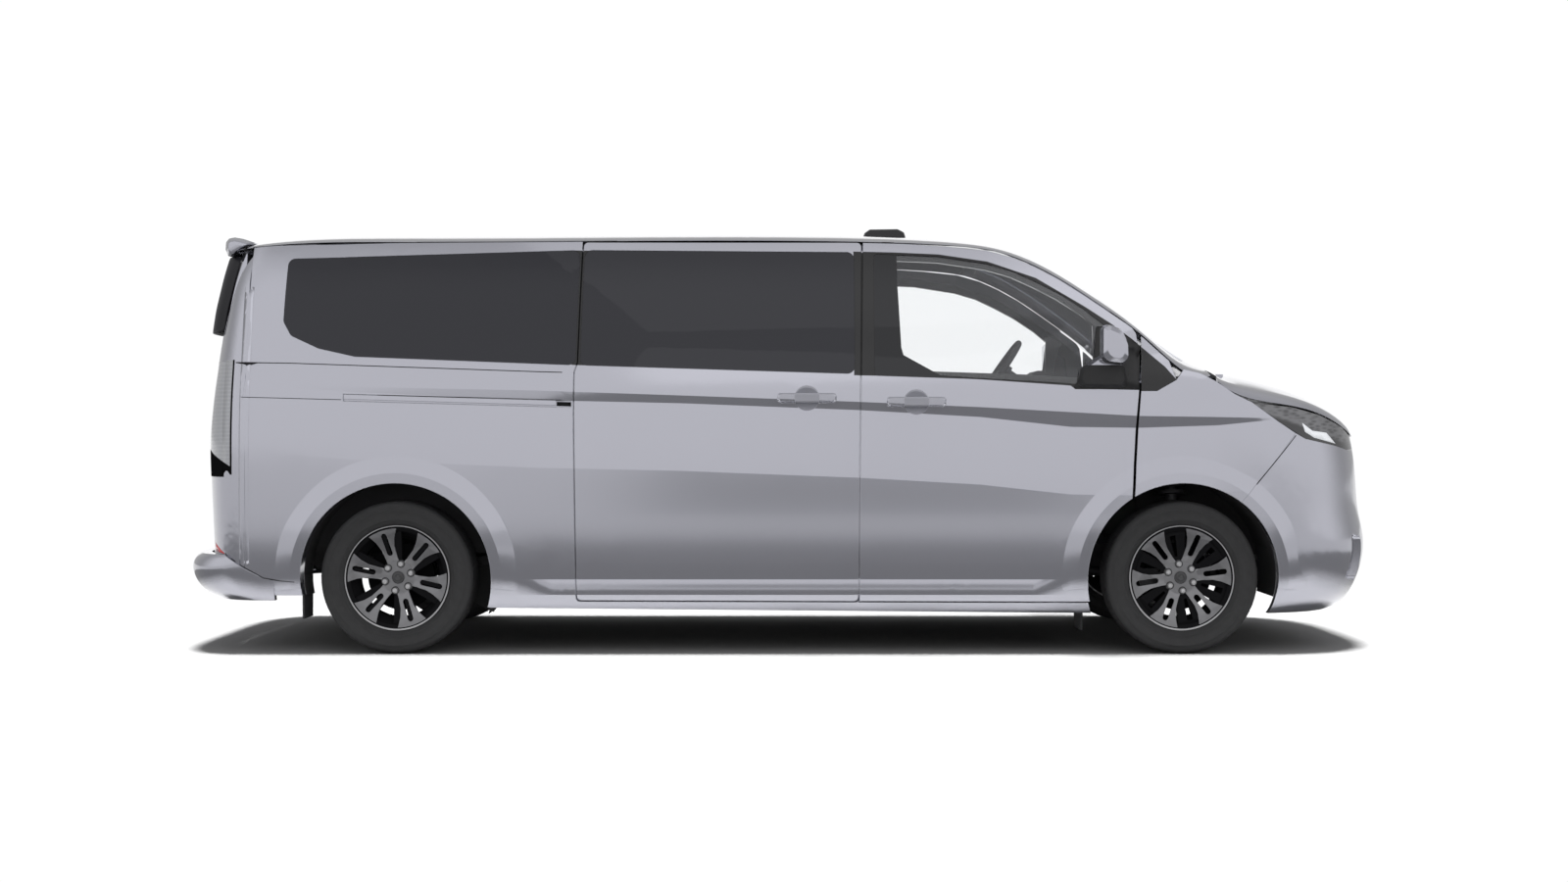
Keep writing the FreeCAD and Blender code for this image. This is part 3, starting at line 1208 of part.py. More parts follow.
def tyre():
    """A tyre on the left wheel's own axes: beads, bulged sidewalls and a flat tread over a hollow."""
    seat = RIM_SEAT_RADIUS + SEAT_GAP
    bead = RIM_WIDTH / 2 - RIM_LIP - SEAT_GAP
    half = TYRE_WIDTH / 2
    tread = TYRE_TREAD_WIDTH / 2
    shoulder = TYRE_RADIUS - TYRE_SHOULDER / 2
    outer = [(seat, bead), (RIM_RADIUS + SEAT_GAP, bead), (RIM_RADIUS + RIM_LIP, bead + RIM_LIP), (TYRE_BULGE_RADIUS, half),
             (shoulder, tread + TYRE_SHOULDER * 0.7), (TYRE_RADIUS, tread)]
    inner = [(TYRE_RADIUS - TYRE_WALL, tread - TYRE_SHOULDER), (TYRE_BULGE_RADIUS, half - TYRE_WALL), (seat, bead - TYRE_WALL)]
    return turned(outer + [(r, -w) for r, w in outer[::-1]] + [(r, -w) for r, w in inner[::-1]] + inner)


def spoke():
    """One split spoke lying along X, dished from the rim in to the hub."""
    face = RIM_WIDTH / 2 - RIM_LIP
    hub = SPOKE_HUB_WIDTH / 2
    rim = SPOKE_RIM_WIDTH / 2
    start = HUB_RADIUS * 0.8
    end = RIM_SEAT_RADIUS - RIM_WALL / 2
    arm = prism([(start, -hub), (end, -rim), (end, rim), (start, hub)], "Y", face - SPOKE_DEPTH - SPOKE_DISH, face + SPOKE_DISH)
    profile = prism([(start, face - SPOKE_DEPTH - SPOKE_DISH), (end, face - SPOKE_DEPTH), (end, face - RIM_WALL),
                     (SLOT_END_RADIUS, face), (start, face - SPOKE_DISH)], "Z", -SPOKE_RIM_WIDTH, SPOKE_RIM_WIDTH)
    slot = prism([(SLOT_START_RADIUS, -SLOT_START_WIDTH / 2), (SLOT_END_RADIUS, -SLOT_END_WIDTH / 2),
                  (SLOT_END_RADIUS, SLOT_END_WIDTH / 2), (SLOT_START_RADIUS, SLOT_START_WIDTH / 2)], "Y",
                 -RIM_WIDTH, RIM_WIDTH, SLOT_START_WIDTH / 3)
    return arm.common(profile).cut(slot)


def rim():
    """An alloy wheel with its brake disc, on the left wheel's own axes."""
    edge = RIM_WIDTH / 2
    bead = edge - RIM_LIP
    barrel = [
        (RIM_SEAT_RADIUS, -bead), (RIM_RADIUS, -bead), (RIM_RADIUS, -edge), (RIM_SEAT_RADIUS - RIM_WALL, -edge),
        (RIM_SEAT_RADIUS - RIM_WALL, -bead + RIM_LIP * 2), (RIM_WELL_RADIUS - RIM_WALL, -RIM_LIP * 3),
        (RIM_WELL_RADIUS - RIM_WALL, RIM_LIP * 3), (RIM_SEAT_RADIUS - RIM_WALL, bead - RIM_LIP * 2),
        (RIM_SEAT_RADIUS - RIM_WALL, bead), (RIM_RADIUS - RIM_WALL, edge), (RIM_RADIUS, edge), (RIM_RADIUS, bead), (RIM_SEAT_RADIUS, bead),
        (RIM_SEAT_RADIUS, bead - RIM_LIP * 2), (RIM_WELL_RADIUS, RIM_LIP * 3), (RIM_WELL_RADIUS, -RIM_LIP * 3),
        (RIM_SEAT_RADIUS, -bead + RIM_LIP * 2),
    ]
    face = edge - RIM_LIP - SPOKE_DISH
    parts = [turned(barrel), drum(0, face - HUB_DEPTH, face, 0, HUB_RADIUS), drum(0, face - RIM_LIP, face + HUB_CAP_PROUD, 0, HUB_CAP_RADIUS),
             drum(0, DISC_INNER_Y, DISC_INNER_Y + DISC_THICKNESS, 0, DISC_RADIUS), drum(0, DISC_INNER_Y, face - RIM_LIP, 0, BELL_RADIUS)]
    for i in range(SPOKE_COUNT):
        arm = spoke().common(drum(0, -RIM_WIDTH, RIM_WIDTH, 0, RIM_SEAT_RADIUS - FLARE_LAP))
        arm.rotate(Vector(0, 0, 0), Vector(0, 1, 0), SPOKE_FIRST_DEG + i * 360.0 / SPOKE_COUNT)
        parts.append(arm)
    shape = joined(parts)
    nuts = []
    for i in range(SPOKE_COUNT):
        angle = math.radians(SPOKE_FIRST_DEG + (i + 0.5) * 360.0 / SPOKE_COUNT)
        x = NUT_CIRCLE_RADIUS * math.cos(angle)
        z = -NUT_CIRCLE_RADIUS * math.sin(angle)
        shape = shape.cut(drum(x, face - NUT_RECESS_DEPTH, face + RIM_LIP, z, NUT_RECESS_RADIUS))
        nut = prism([(x + NUT_RADIUS * math.cos(k * math.pi / 3), z + NUT_RADIUS * math.sin(k * math.pi / 3)) for k in range(6)],
                    "Y", face - NUT_RECESS_DEPTH * 2, face - NUT_SINK / 2)
        nuts.append(nut)
    shape = joined([shape] + nuts)
    return shape.cut(drum(0, DISC_INNER_Y - 1, face - HUB_DEPTH / 2, 0, STUB_RADIUS + PIN_CLEARANCE))


def wheel_at(shape, x, hand):
    placed = shape.copy() if hand > 0 else mirrored(shape)
    placed.translate(Vector(x, hand * WHEEL_CENTRE_Y, TYRE_RADIUS))
    return placed


# Axles

def knuckle():
    """The left front upright with its stub axle, caliper, strut, spring and steering pins."""
    x, z = FRONT_AXLE_X, TYRE_RADIUS
    inner = WHEEL_CENTRE_Y + DISC_INNER_Y
    low_boss = KINGPIN_LOW_Z + ARM_THICKNESS / 2 + SHUT_GAP
    half = UPRIGHT_WIDTH / 2
    centre = kingpin(1, z).y
    parts = [
        rod(kingpin(1, KINGPIN_LOW_Z - ARM_THICKNESS), kingpin(1, z - UPRIGHT_HEIGHT / 4), BALL_PIN_RADIUS),
        rod(kingpin(1, low_boss), kingpin(1, z), STRUT_TUBE_RADIUS),
        drum(x, centre, WHEEL_CENTRE_Y + RIM_WIDTH / 8, z, STUB_RADIUS),
        prism([(x - half, z - half), (x + half, z - half), (x + half * 0.8, z + UPRIGHT_HEIGHT * 0.75), (x - half * 0.8, z + UPRIGHT_HEIGHT * 0.75)],
              "Y", centre - UPRIGHT_THICKNESS / 2, centre + UPRIGHT_THICKNESS / 2, STUB_RADIUS / 2),
        rod(kingpin(1, z), kingpin(1, TOWER_Z - SHUT_GAP * 3), STRUT_TUBE_RADIUS),
        rod(kingpin(1, TOWER_Z - SHUT_GAP * 4), kingpin(1, TOWER_Z + TOWER_THICKNESS * 2), BALL_PIN_RADIUS),
    ]
    start = TYRE_RADIUS * 2 + STRUT_TUBE_RADIUS
    step = (TOWER_Z - SHUT_GAP * 2 - start) / SPRING_TURNS
    for i in range(SPRING_TURNS):
        parts.append(rod(kingpin(1, start + step * i), kingpin(1, start + step * (i + 0.5)), SPRING_RADIUS))
    outer_r = RIM_WELL_RADIUS - RIM_WALL - SHUT_GAP
    tall = CALIPER_HEIGHT / 4
    caliper = box(x - outer_r * 0.97, x - outer_r * 0.97 + CALIPER_LENGTH, inner - CALIPER_GAP - UPRIGHT_THICKNESS,
                  inner + DISC_THICKNESS + CALIPER_GAP + UPRIGHT_THICKNESS * 0.6, z - tall, z + tall)
    caliper = caliper.cut(drum(x, inner - CALIPER_GAP, inner + DISC_THICKNESS + CALIPER_GAP, z, DISC_RADIUS + CALIPER_GAP))
    caliper = caliper.common(drum(x, inner - BELL_RADIUS, inner + BELL_RADIUS * 2, z, outer_r))
    bracket = box(x - outer_r * 0.9, x, inner - CALIPER_GAP - UPRIGHT_THICKNESS, inner - CALIPER_GAP - UPRIGHT_THICKNESS / 2,
                  z - tall * 0.8, z + tall * 0.8)
    return joined(parts + [caliper, bracket])


def front_subframe():
    """The cross frame under the engine with its lower arms."""
    low = KINGPIN_LOW_Z - ARM_THICKNESS / 2
    high = KINGPIN_LOW_Z + ARM_THICKNESS / 2
    x = FRONT_AXLE_X
    reach = FRAME_RAIL_Y + FRAME_RAIL_WIDTH / 2
    back = BULKHEAD_X + BULKHEAD_THICKNESS
    ahead = x + CROSS_WIDTH * 2.7
    outline = [(back, -reach), (ahead, -reach), (ahead - CROSS_WIDTH / 2, 0.0), (ahead, reach), (back, reach), (back + CROSS_WIDTH / 2, 0.0)]
    parts = [prism(outline, "Z", low, high + CROSS_WIDTH, CROSS_WIDTH / 2)]
    arm = prism([(back + CROSS_WIDTH / 4, -reach + CROSS_WIDTH / 4), (x - BALL_PIN_RADIUS * 2, -KINGPIN_LOW_Y), (x + BALL_PIN_RADIUS * 2, -KINGPIN_LOW_Y),
                 (ahead - CROSS_WIDTH / 4, -reach + CROSS_WIDTH / 4), (x + CROSS_WIDTH / 2, -reach + CROSS_WIDTH / 4), (x, -KINGPIN_LOW_Y + CROSS_WIDTH * 1.6),
                 (x - CROSS_WIDTH / 3, -reach + CROSS_WIDTH / 4)], "Z", low, high)
    eye = rod(Vector(x, -KINGPIN_LOW_Y, low), Vector(x, -KINGPIN_LOW_Y, high), BALL_PIN_RADIUS * 2)
    parts += pair(arm) + pair(eye)
    for post_x in (back, ahead - CROSS_WIDTH):
        post = box(post_x, post_x + CROSS_WIDTH, -reach, -reach + CROSS_WIDTH, high, FRAME_RAIL_Z - SEAT_GAP)
        parts += pair(post)
    parts.append(box(ENGINE_REAR_X, ahead - CROSS_WIDTH / 2 + SEAT_GAP, -CROSS_WIDTH, CROSS_WIDTH, high, ENGINE_BOTTOM_Z - SEAT_GAP))
    shape = joined(parts)
    for hand in (-1, 1):
        shape = shape.cut(rod(kingpin(hand, low - ARM_THICKNESS), kingpin(hand, high + ARM_THICKNESS), BALL_PIN_RADIUS + PIN_CLEARANCE))
    return shape


def rear_axle():
    """The rear beam with its stubs, trailing arms and spring seats."""
    x, z = REAR_AXLE_X, TYRE_RADIUS
    under = FLOOR_TOP_Z - FLOOR_THICKNESS - SEAT_GAP
    beam_radius = STUB_RADIUS * 1.25
    parts = [drum(x, -WHEEL_CENTRE_Y - DISC_INNER_Y * 2, WHEEL_CENTRE_Y + DISC_INNER_Y * 2, z, beam_radius)]
    stub = drum(x, -WHEEL_CENTRE_Y - RIM_WIDTH / 8, -WHEEL_CENTRE_Y + REAR_STUB_LENGTH, z, STUB_RADIUS)
    arm = prism([(x, z - beam_radius * 0.7), (x + REAR_ARM_LENGTH, under - beam_radius), (x + REAR_ARM_LENGTH, under),
                 (x + REAR_ARM_LENGTH - beam_radius * 2, under), (x, z + beam_radius * 0.7)], "Y",
                -REAR_ARM_Y - REAR_ARM_WIDTH / 2, -REAR_ARM_Y + REAR_ARM_WIDTH / 2)
    spring = rod(Vector(x, -REAR_ARM_Y, z), Vector(x, -REAR_ARM_Y, under), SPRING_RADIUS * 0.8)
    damper = rod(Vector(x - beam_radius * 0.6, -REAR_ARM_Y + REAR_ARM_WIDTH, z), Vector(x - beam_radius * 3, -REAR_ARM_Y + REAR_ARM_WIDTH, under),
                 STRUT_TUBE_RADIUS)
    for part in (stub, arm, spring, damper):
        parts += pair(part)
    trimmed = box(x - LENGTH, x + LENGTH, -SIDE_REACH, SIDE_REACH, 0.0, under)
    return joined(parts).common(trimmed)


# Floor and liners

def floor_pan():
    """The floor with sills, frame rails and cross members."""
    bottom = FLOOR_TOP_Z - FLOOR_THICKNESS
    inner = WALL_THICKNESS + SEAT_GAP
    sill = side_strip(inner, inner + SILL_WIDTH).common(right_prism(
        [(SIDE_START_X + SHUT_GAP, bottom), (SIDE_START_X + SHUT_GAP, FLOOR_TOP_Z), (BULKHEAD_X - SEAT_GAP, FLOOR_TOP_Z), (BULKHEAD_X - SEAT_GAP, SILL_BOTTOM_Z),
         (REAR_AXLE_X + ARCH_RADIUS, SILL_BOTTOM_Z), (REAR_AXLE_X, bottom)]))
    edge = HALF_WIDTH - inner - SILL_WIDTH / 2
    slab = box(SIDE_START_X + SHUT_GAP, BULKHEAD_X - SEAT_GAP, -edge, edge, bottom, FLOOR_TOP_Z)
    tail_edge = TAIL_shares[1][0] * ROOF_HEIGHT - JAMB_WIDTH - SHUT_GAP
    parts = [slab, box(FLOOR_REAR_X, SIDE_START_X + CUT_OVERRUN, -tail_edge, tail_edge, bottom, FLOOR_TOP_Z)] + pair(sill)
    rail = box(FLOOR_REAR_X, BULKHEAD_X - SEAT_GAP, -FRAME_RAIL_Y - FRAME_RAIL_WIDTH / 2, -FRAME_RAIL_Y + FRAME_RAIL_WIDTH / 2,
               bottom - FRAME_RAIL_WIDTH, bottom)
    parts += pair(rail)
    for x in FLOOR_CROSS_XS:
        parts.append(box(x, x + CROSS_WIDTH, -edge, edge, bottom - FRAME_RAIL_WIDTH / 2, bottom))
    for x in JACK_PAD_XS:
        parts += pair(box(x - JACK_PAD_LENGTH / 2, x + JACK_PAD_LENGTH / 2, -JACK_PAD_Y - JACK_PAD_WIDTH / 2,
                          -JACK_PAD_Y + JACK_PAD_WIDTH / 2, SILL_BOTTOM_Z - JACK_PAD_DROP, SILL_BOTTOM_Z + JACK_PAD_DROP))
    shape = joined(parts).cut(drum(REAR_AXLE_X, -edge, edge, TYRE_RADIUS, AXLE_ROOM_RADIUS))
    room = ARCH_RADIUS + LINER_GAP + LINER_THICKNESS + SEAT_GAP
    for x, inner_y in ((REAR_AXLE_X, REAR_LINER_INNER_Y), (FRONT_AXLE_X, FRONT_LINER_INNER_Y)):
        for cutter in pair(drum(x, -SIDE_REACH, SEAT_GAP - inner_y, TYRE_RADIUS, room)):
            shape = shape.cut(cutter)
        for cutter in pair(box(x - room, x + room, -SIDE_REACH, SEAT_GAP - inner_y, 0.0, TYRE_RADIUS)):
            shape = shape.cut(cutter)
    return shape


def liner(axle_x, inner_y, low_rear, low_front):
    """A right wheel arch liner, hanging inside the body side."""
    inner = ARCH_RADIUS + LINER_GAP
    outer = inner + LINER_THICKNESS
    outer_y = HALF_WIDTH - WALL_THICKNESS - SEAT_GAP
    ring = drum(axle_x, -outer_y, -inner_y, TYRE_RADIUS, outer).cut(drum(axle_x, -SIDE_REACH, -inner_y, TYRE_RADIUS, inner))
    ring = ring.common(prism([(axle_x - outer, low_rear), (axle_x - outer, TALL_REACH), (axle_x + outer, TALL_REACH), (axle_x + outer, low_front)], "Y",
                             -SIDE_REACH, -inner_y))
    trimmer = side_strip(-CUT_OVERRUN, WALL_THICKNESS + LINER_SEAM)
    return ring.cut(trimmer), outer_y


def wheel_liners():
    """Four arch liners, the rear pair with inner walls, and the mud flaps."""
    rear, outer_y = liner(REAR_AXLE_X, REAR_LINER_INNER_Y, FLAP_TOP_Z, TYRE_RADIUS)
    outer = ARCH_RADIUS + LINER_GAP + LINER_THICKNESS
    wall = drum(REAR_AXLE_X, -REAR_LINER_INNER_Y - LINER_THICKNESS, -REAR_LINER_INNER_Y, TYRE_RADIUS, outer)
    wall = wall.common(box(-LENGTH, LENGTH, -SIDE_REACH, 0.0, FLOOR_TOP_Z - FLOOR_THICKNESS, TALL_REACH))
    rear_flap = box(REAR_AXLE_X - outer, REAR_AXLE_X - outer + LINER_THICKNESS * 2, -outer_y + FLAP_INSET * 2,
                    -REAR_LINER_INNER_Y - FLAP_INSET, REAR_FLAP_BOTTOM_Z, TYRE_RADIUS + FLAP_INSET / 2)
    front, outer_y = liner(FRONT_AXLE_X, FRONT_LINER_INNER_Y, FLAP_TOP_Z, FLAP_TOP_Z)
    front_flap = box(FRONT_AXLE_X - outer, FRONT_AXLE_X - outer + LINER_THICKNESS * 2, -outer_y + FLAP_INSET * 4,
                     -FRONT_LINER_INNER_Y - FLAP_INSET * 4, FRONT_FLAP_BOTTOM_Z, TYRE_RADIUS + FLAP_INSET / 2)
    strut_hole = rod(kingpin(-1, TYRE_RADIUS * 2), kingpin(-1, TOWER_Z), SPRING_RADIUS * 1.25)
    front = front.cut(strut_hole).cut(nose_strip(-CUT_OVERRUN, BUMPER_THICKNESS + SEAT_GAP))
    front = front.cut(side_strip(WING_THICKNESS, WING_THICKNESS + UPPER_RAIL_THICKNESS + SEAT_GAP).common(right_prism(list(UPPER_RAIL_outline))))
    solids = [joined([rear, wall, rear_flap]), joined([front, front_flap])]
    return Part.makeCompound(solids + [mirrored(s) for s in solids])


def exhaust():
    """The silencer and its pipe, hung under the floor."""
    under = FLOOR_TOP_Z - FLOOR_THICKNESS - FRAME_RAIL_WIDTH / 2 - SEAT_GAP
    x, y = EXHAUST_X, -EXHAUST_Y
    z = under - EXHAUST_RADIUS
    box_part = rod(Vector(x, y, z), Vector(x + EXHAUST_LENGTH, y, z), EXHAUST_RADIUS)
    pipe = rod(Vector(x + EXHAUST_LENGTH - EXHAUST_RADIUS, y, z), Vector(ENGINE_REAR_X - CUT_OVERRUN * 5, y, z), EXHAUST_PIPE_RADIUS)
    return joined([box_part, pipe])


# Cabin

def seat(x, y, width):
    """A seat on its base, with a leaning back and a head restraint."""
    half = width / 2
    base_top = FLOOR_TOP_Z + SEAT_BASE_HEIGHT
    top = base_top + SEAT_CUSHION_HEIGHT
    back_top = top + SEAT_BACK_HEIGHT
    thick = SEAT_BACK_THICKNESS
    base = prism([(x + thick, FLOOR_TOP_Z + SEAT_GAP), (x + SEAT_CUSHION_LENGTH - thick, FLOOR_TOP_Z + SEAT_GAP),
                  (x + SEAT_CUSHION_LENGTH - thick * 0.6, base_top + SEAT_ROUND), (x + thick * 0.6, base_top + SEAT_ROUND)], "Y",
                 y - half * 0.7, y + half * 0.7)
    cushion = prism([(x, base_top), (x + SEAT_CUSHION_LENGTH, base_top + SEAT_ROUND / 2), (x + SEAT_CUSHION_LENGTH, top + SEAT_ROUND / 2),
                     (x, top - SEAT_ROUND / 2)], "Y", y - half, y + half, SEAT_ROUND)
    lean = SEAT_BACK_LEAN
    back = prism([(x - thick * 0.4, base_top + SEAT_ROUND), (x + thick * 0.7, base_top + SEAT_ROUND), (x + thick * 0.5 - lean, back_top),
                  (x - thick * 0.3 - lean, back_top)], "Y", y - half * 0.94, y + half * 0.94, SEAT_ROUND)
    heads = max(int(width / FRONT_SEAT_WIDTH), 1)
    parts = [base, cushion, back]
    for i in range(heads):
        middle = y + (i - (heads - 1) / 2) * width / heads
        wide = SEAT_HEAD_WIDTH / 2
        parts.append(prism([(x - thick * 0.3 - lean, back_top - SEAT_ROUND), (x + thick * 0.45 - lean, back_top - SEAT_ROUND),
                            (x + thick * 0.35 - lean * 1.2, back_top + SEAT_HEAD_HEIGHT), (x - thick * 0.3 - lean * 1.2, back_top + SEAT_HEAD_HEIGHT)],
                           "Y", middle - wide, middle + wide, SEAT_ROUND * 0.8))
    return joined(parts)


def column_direction():
    tilt = math.radians(STEERING_TILT_DEG)
    return Vector(math.sin(tilt), 0.0, -math.cos(tilt))


def dashboard():
    """The dashboard on the bulkhead, with the steering column's cover."""
    panel = prism(list(DASH_outline), "Y", -DASH_HALF_WIDTH, DASH_HALF_WIDTH, SEAT_ROUND)
    hub = Vector(WHEEL_HUB_X, WHEEL_HUB_Y, WHEEL_HUB_Z)
    along = column_direction()
    cover = rod(hub + along * (STEERING_HUB_DEPTH + SEAT_GAP), hub + along * COLUMN_LENGTH, COLUMN_RADIUS)
    hood = prism(list(DASH_HOOD_outline), "Y", WHEEL_HUB_Y - DASH_HOOD_HALF_WIDTH, WHEEL_HUB_Y + DASH_HOOD_HALF_WIDTH, SEAT_ROUND)
    wall = prism(grown(list(BULKHEAD_outline), SEAT_GAP), "Y", -SIDE_REACH, SIDE_REACH)
    return joined([panel, cover, hood]).cut(wall)


def steering_wheel():
    ring = Part.makeTorus(STEERING_RADIUS, STEERING_GRIP)
    hub = Part.makeCylinder(COLUMN_RADIUS * 1.3, STEERING_HUB_DEPTH, Vector(0, 0, -STEERING_HUB_DEPTH))
    parts = [ring, hub]
    for turn in (0.0, 180.0, 270.0):
        arm = box(0.0, STEERING_RADIUS, -STEERING_GRIP, STEERING_GRIP, -STEERING_GRIP * 0.8, 0.0)
        arm.rotate(Vector(0, 0, 0), Vector(0, 0, 1), turn + 90.0)
        parts.append(arm)
    wheel = joined(parts)
    wheel.rotate(Vector(0, 0, 0), Vector(0, 1, 0), -STEERING_TILT_DEG)
    wheel.translate(Vector(WHEEL_HUB_X, WHEEL_HUB_Y, WHEEL_HUB_Z))
    return wheel


def roof_pod(roof):
    shape = pillow(list(POD_outline), (-POD_HALF_WIDTH, -POD_HALF_WIDTH * 0.7, POD_HALF_WIDTH * 0.7, POD_HALF_WIDTH),
                   (LINER_THICKNESS, 0.0, 0.0, LINER_THICKNESS), SEAT_ROUND / 2)
    return shape.cut(roof)


# The whole vehicle

def export(name, shape):
    shape.exportStep("parts/" + name + ".step")
    print(name, shape.isValid(), len(shape.Solids), round(shape.Volume / 1e6, 3))


def export_pair(name, right):
    export(name + "_right", right)
    export(name + "_left", mirrored(right))


def both(shape):
    return Part.makeCompound(pair(shape))


def main():
    os.makedirs("parts", exist_ok=True)
    side = side_strip(0.0, WALL_THICKNESS)
    door_side = side_strip(0.0, DOOR_THICKNESS)
    thin_side = side_strip(0.0, WING_THICKNESS)
    nose = nose_strip(0.0, BUMPER_THICKNESS)
    tail = tail_strip(0.0, WALL_THICKNESS)
    rear_lip = flare(REAR_AXLE_X)
    front_lip = flare(FRONT_AXLE_X)

    export_pair("side_wall", side_wall(side, tail, rear_lip))
    export("slide_rail_covers", both(rail_cover()))
    export_pair("sliding_door", sliding_door(door_side))
    export("side_glass", Part.makeCompound(pair(pane(side_strip, side_window(QUARTER_GLASS_shares), WINDOW_ROUND))
                                           + pair(pane(side_strip, side_window(SLIDER_GLASS_shares), WINDOW_ROUND))))
    door = front_door(door_side, front_lip)
    export_pair("front_door", door)
    export_pair("door_glass", pane(side_strip, side_window(DOOR_GLASS_shares), WINDOW_ROUND / 2))
    export_pair("door_mirror", door_mirror(door))
    export("front_wings", both(wing(thin_side, front_lip)))
    export("pillar_panels", both(pillar_panel(side_strip(0.0, WING_THICKNESS / 2))))
    export("front_bumper", front_bumper(nose, front_lip))
    export("grille", Part.makeCompound([barred(GRILLE_shares, GRILLE_BARS), barred(INTAKE_shares, INTAKE_BARS)]))
    hood = bonnet()
    export("bonnet", hood)
    export("headlamps", both(headlamp(hood)))

    whole_roof = arched_panel(stations(ROOF_REAR_X, ROOF_FRONT_X, ROOF_LINE_shares), rail_line, roof_line, ROOF_ROUND_share,
                              (0.0, 0.0), (ROOF_THICKNESS, PILLAR_FLANGE))
    roof = roof_panel(whole_roof)
    export("roof_panel", roof)
    export("roof_pod", roof_pod(roof))
    export("tailgate", tailgate(whole_roof))
    export("tailgate_glass", pane(tail_strip, rear_window, WINDOW_ROUND))
    lamp = lamp_form(tail_strip(0.0, TAIL_LAMP_THICKNESS), 0.0)
    lamp = lamp.cut(back_prism(grown(tail_points(TAIL_shares), SHUT_GAP)))
    export("tail_lamps", both(lamp))
    export("rear_bumper", bumper_form(0.0, BUMPER_THICKNESS).common(full_prism(bumper_side_outline())))

    export("front_structure", front_structure())
    export("windscreen", windscreen())
    export("floor_pan", floor_pan())
    export("wheel_liners", wheel_liners())
    export("exhaust", exhaust())
    export("front_subframe", front_subframe())
    export("rear_axle", rear_axle())
    left = knuckle()
    export("knuckle_left", left)
    export("knuckle_right", mirrored(left))
    for part_name, shape in (("tyre", tyre()), ("rim", rim())):
        for end, x in (("front", FRONT_AXLE_X), ("rear", REAR_AXLE_X)):
            for hand_name, hand in (("left", 1), ("right", -1)):
                export(part_name + "_" + end + "_" + hand_name, wheel_at(shape, x, hand))
    export("engine_block", box(ENGINE_REAR_X, ENGINE_FRONT_X, -ENGINE_HALF_WIDTH, ENGINE_HALF_WIDTH, ENGINE_BOTTOM_Z, ENGINE_TOP_Z))

    export("dashboard", dashboard())
    export("steering_wheel", steering_wheel())
    export("front_seats", Part.makeCompound([seat(FRONT_SEAT_X, hand * FRONT_SEAT_Y, FRONT_SEAT_WIDTH) for hand in (-1, 1)]))
    rows = [seat(x, hand * REAR_SEAT_Y, REAR_SEAT_WIDTH) for x in REAR_ROW_XS for hand in (-1, 1)]
    export("rear_seats", Part.makeCompound(rows + [seat(BENCH_X, 0.0, BENCH_WIDTH)]))


main()
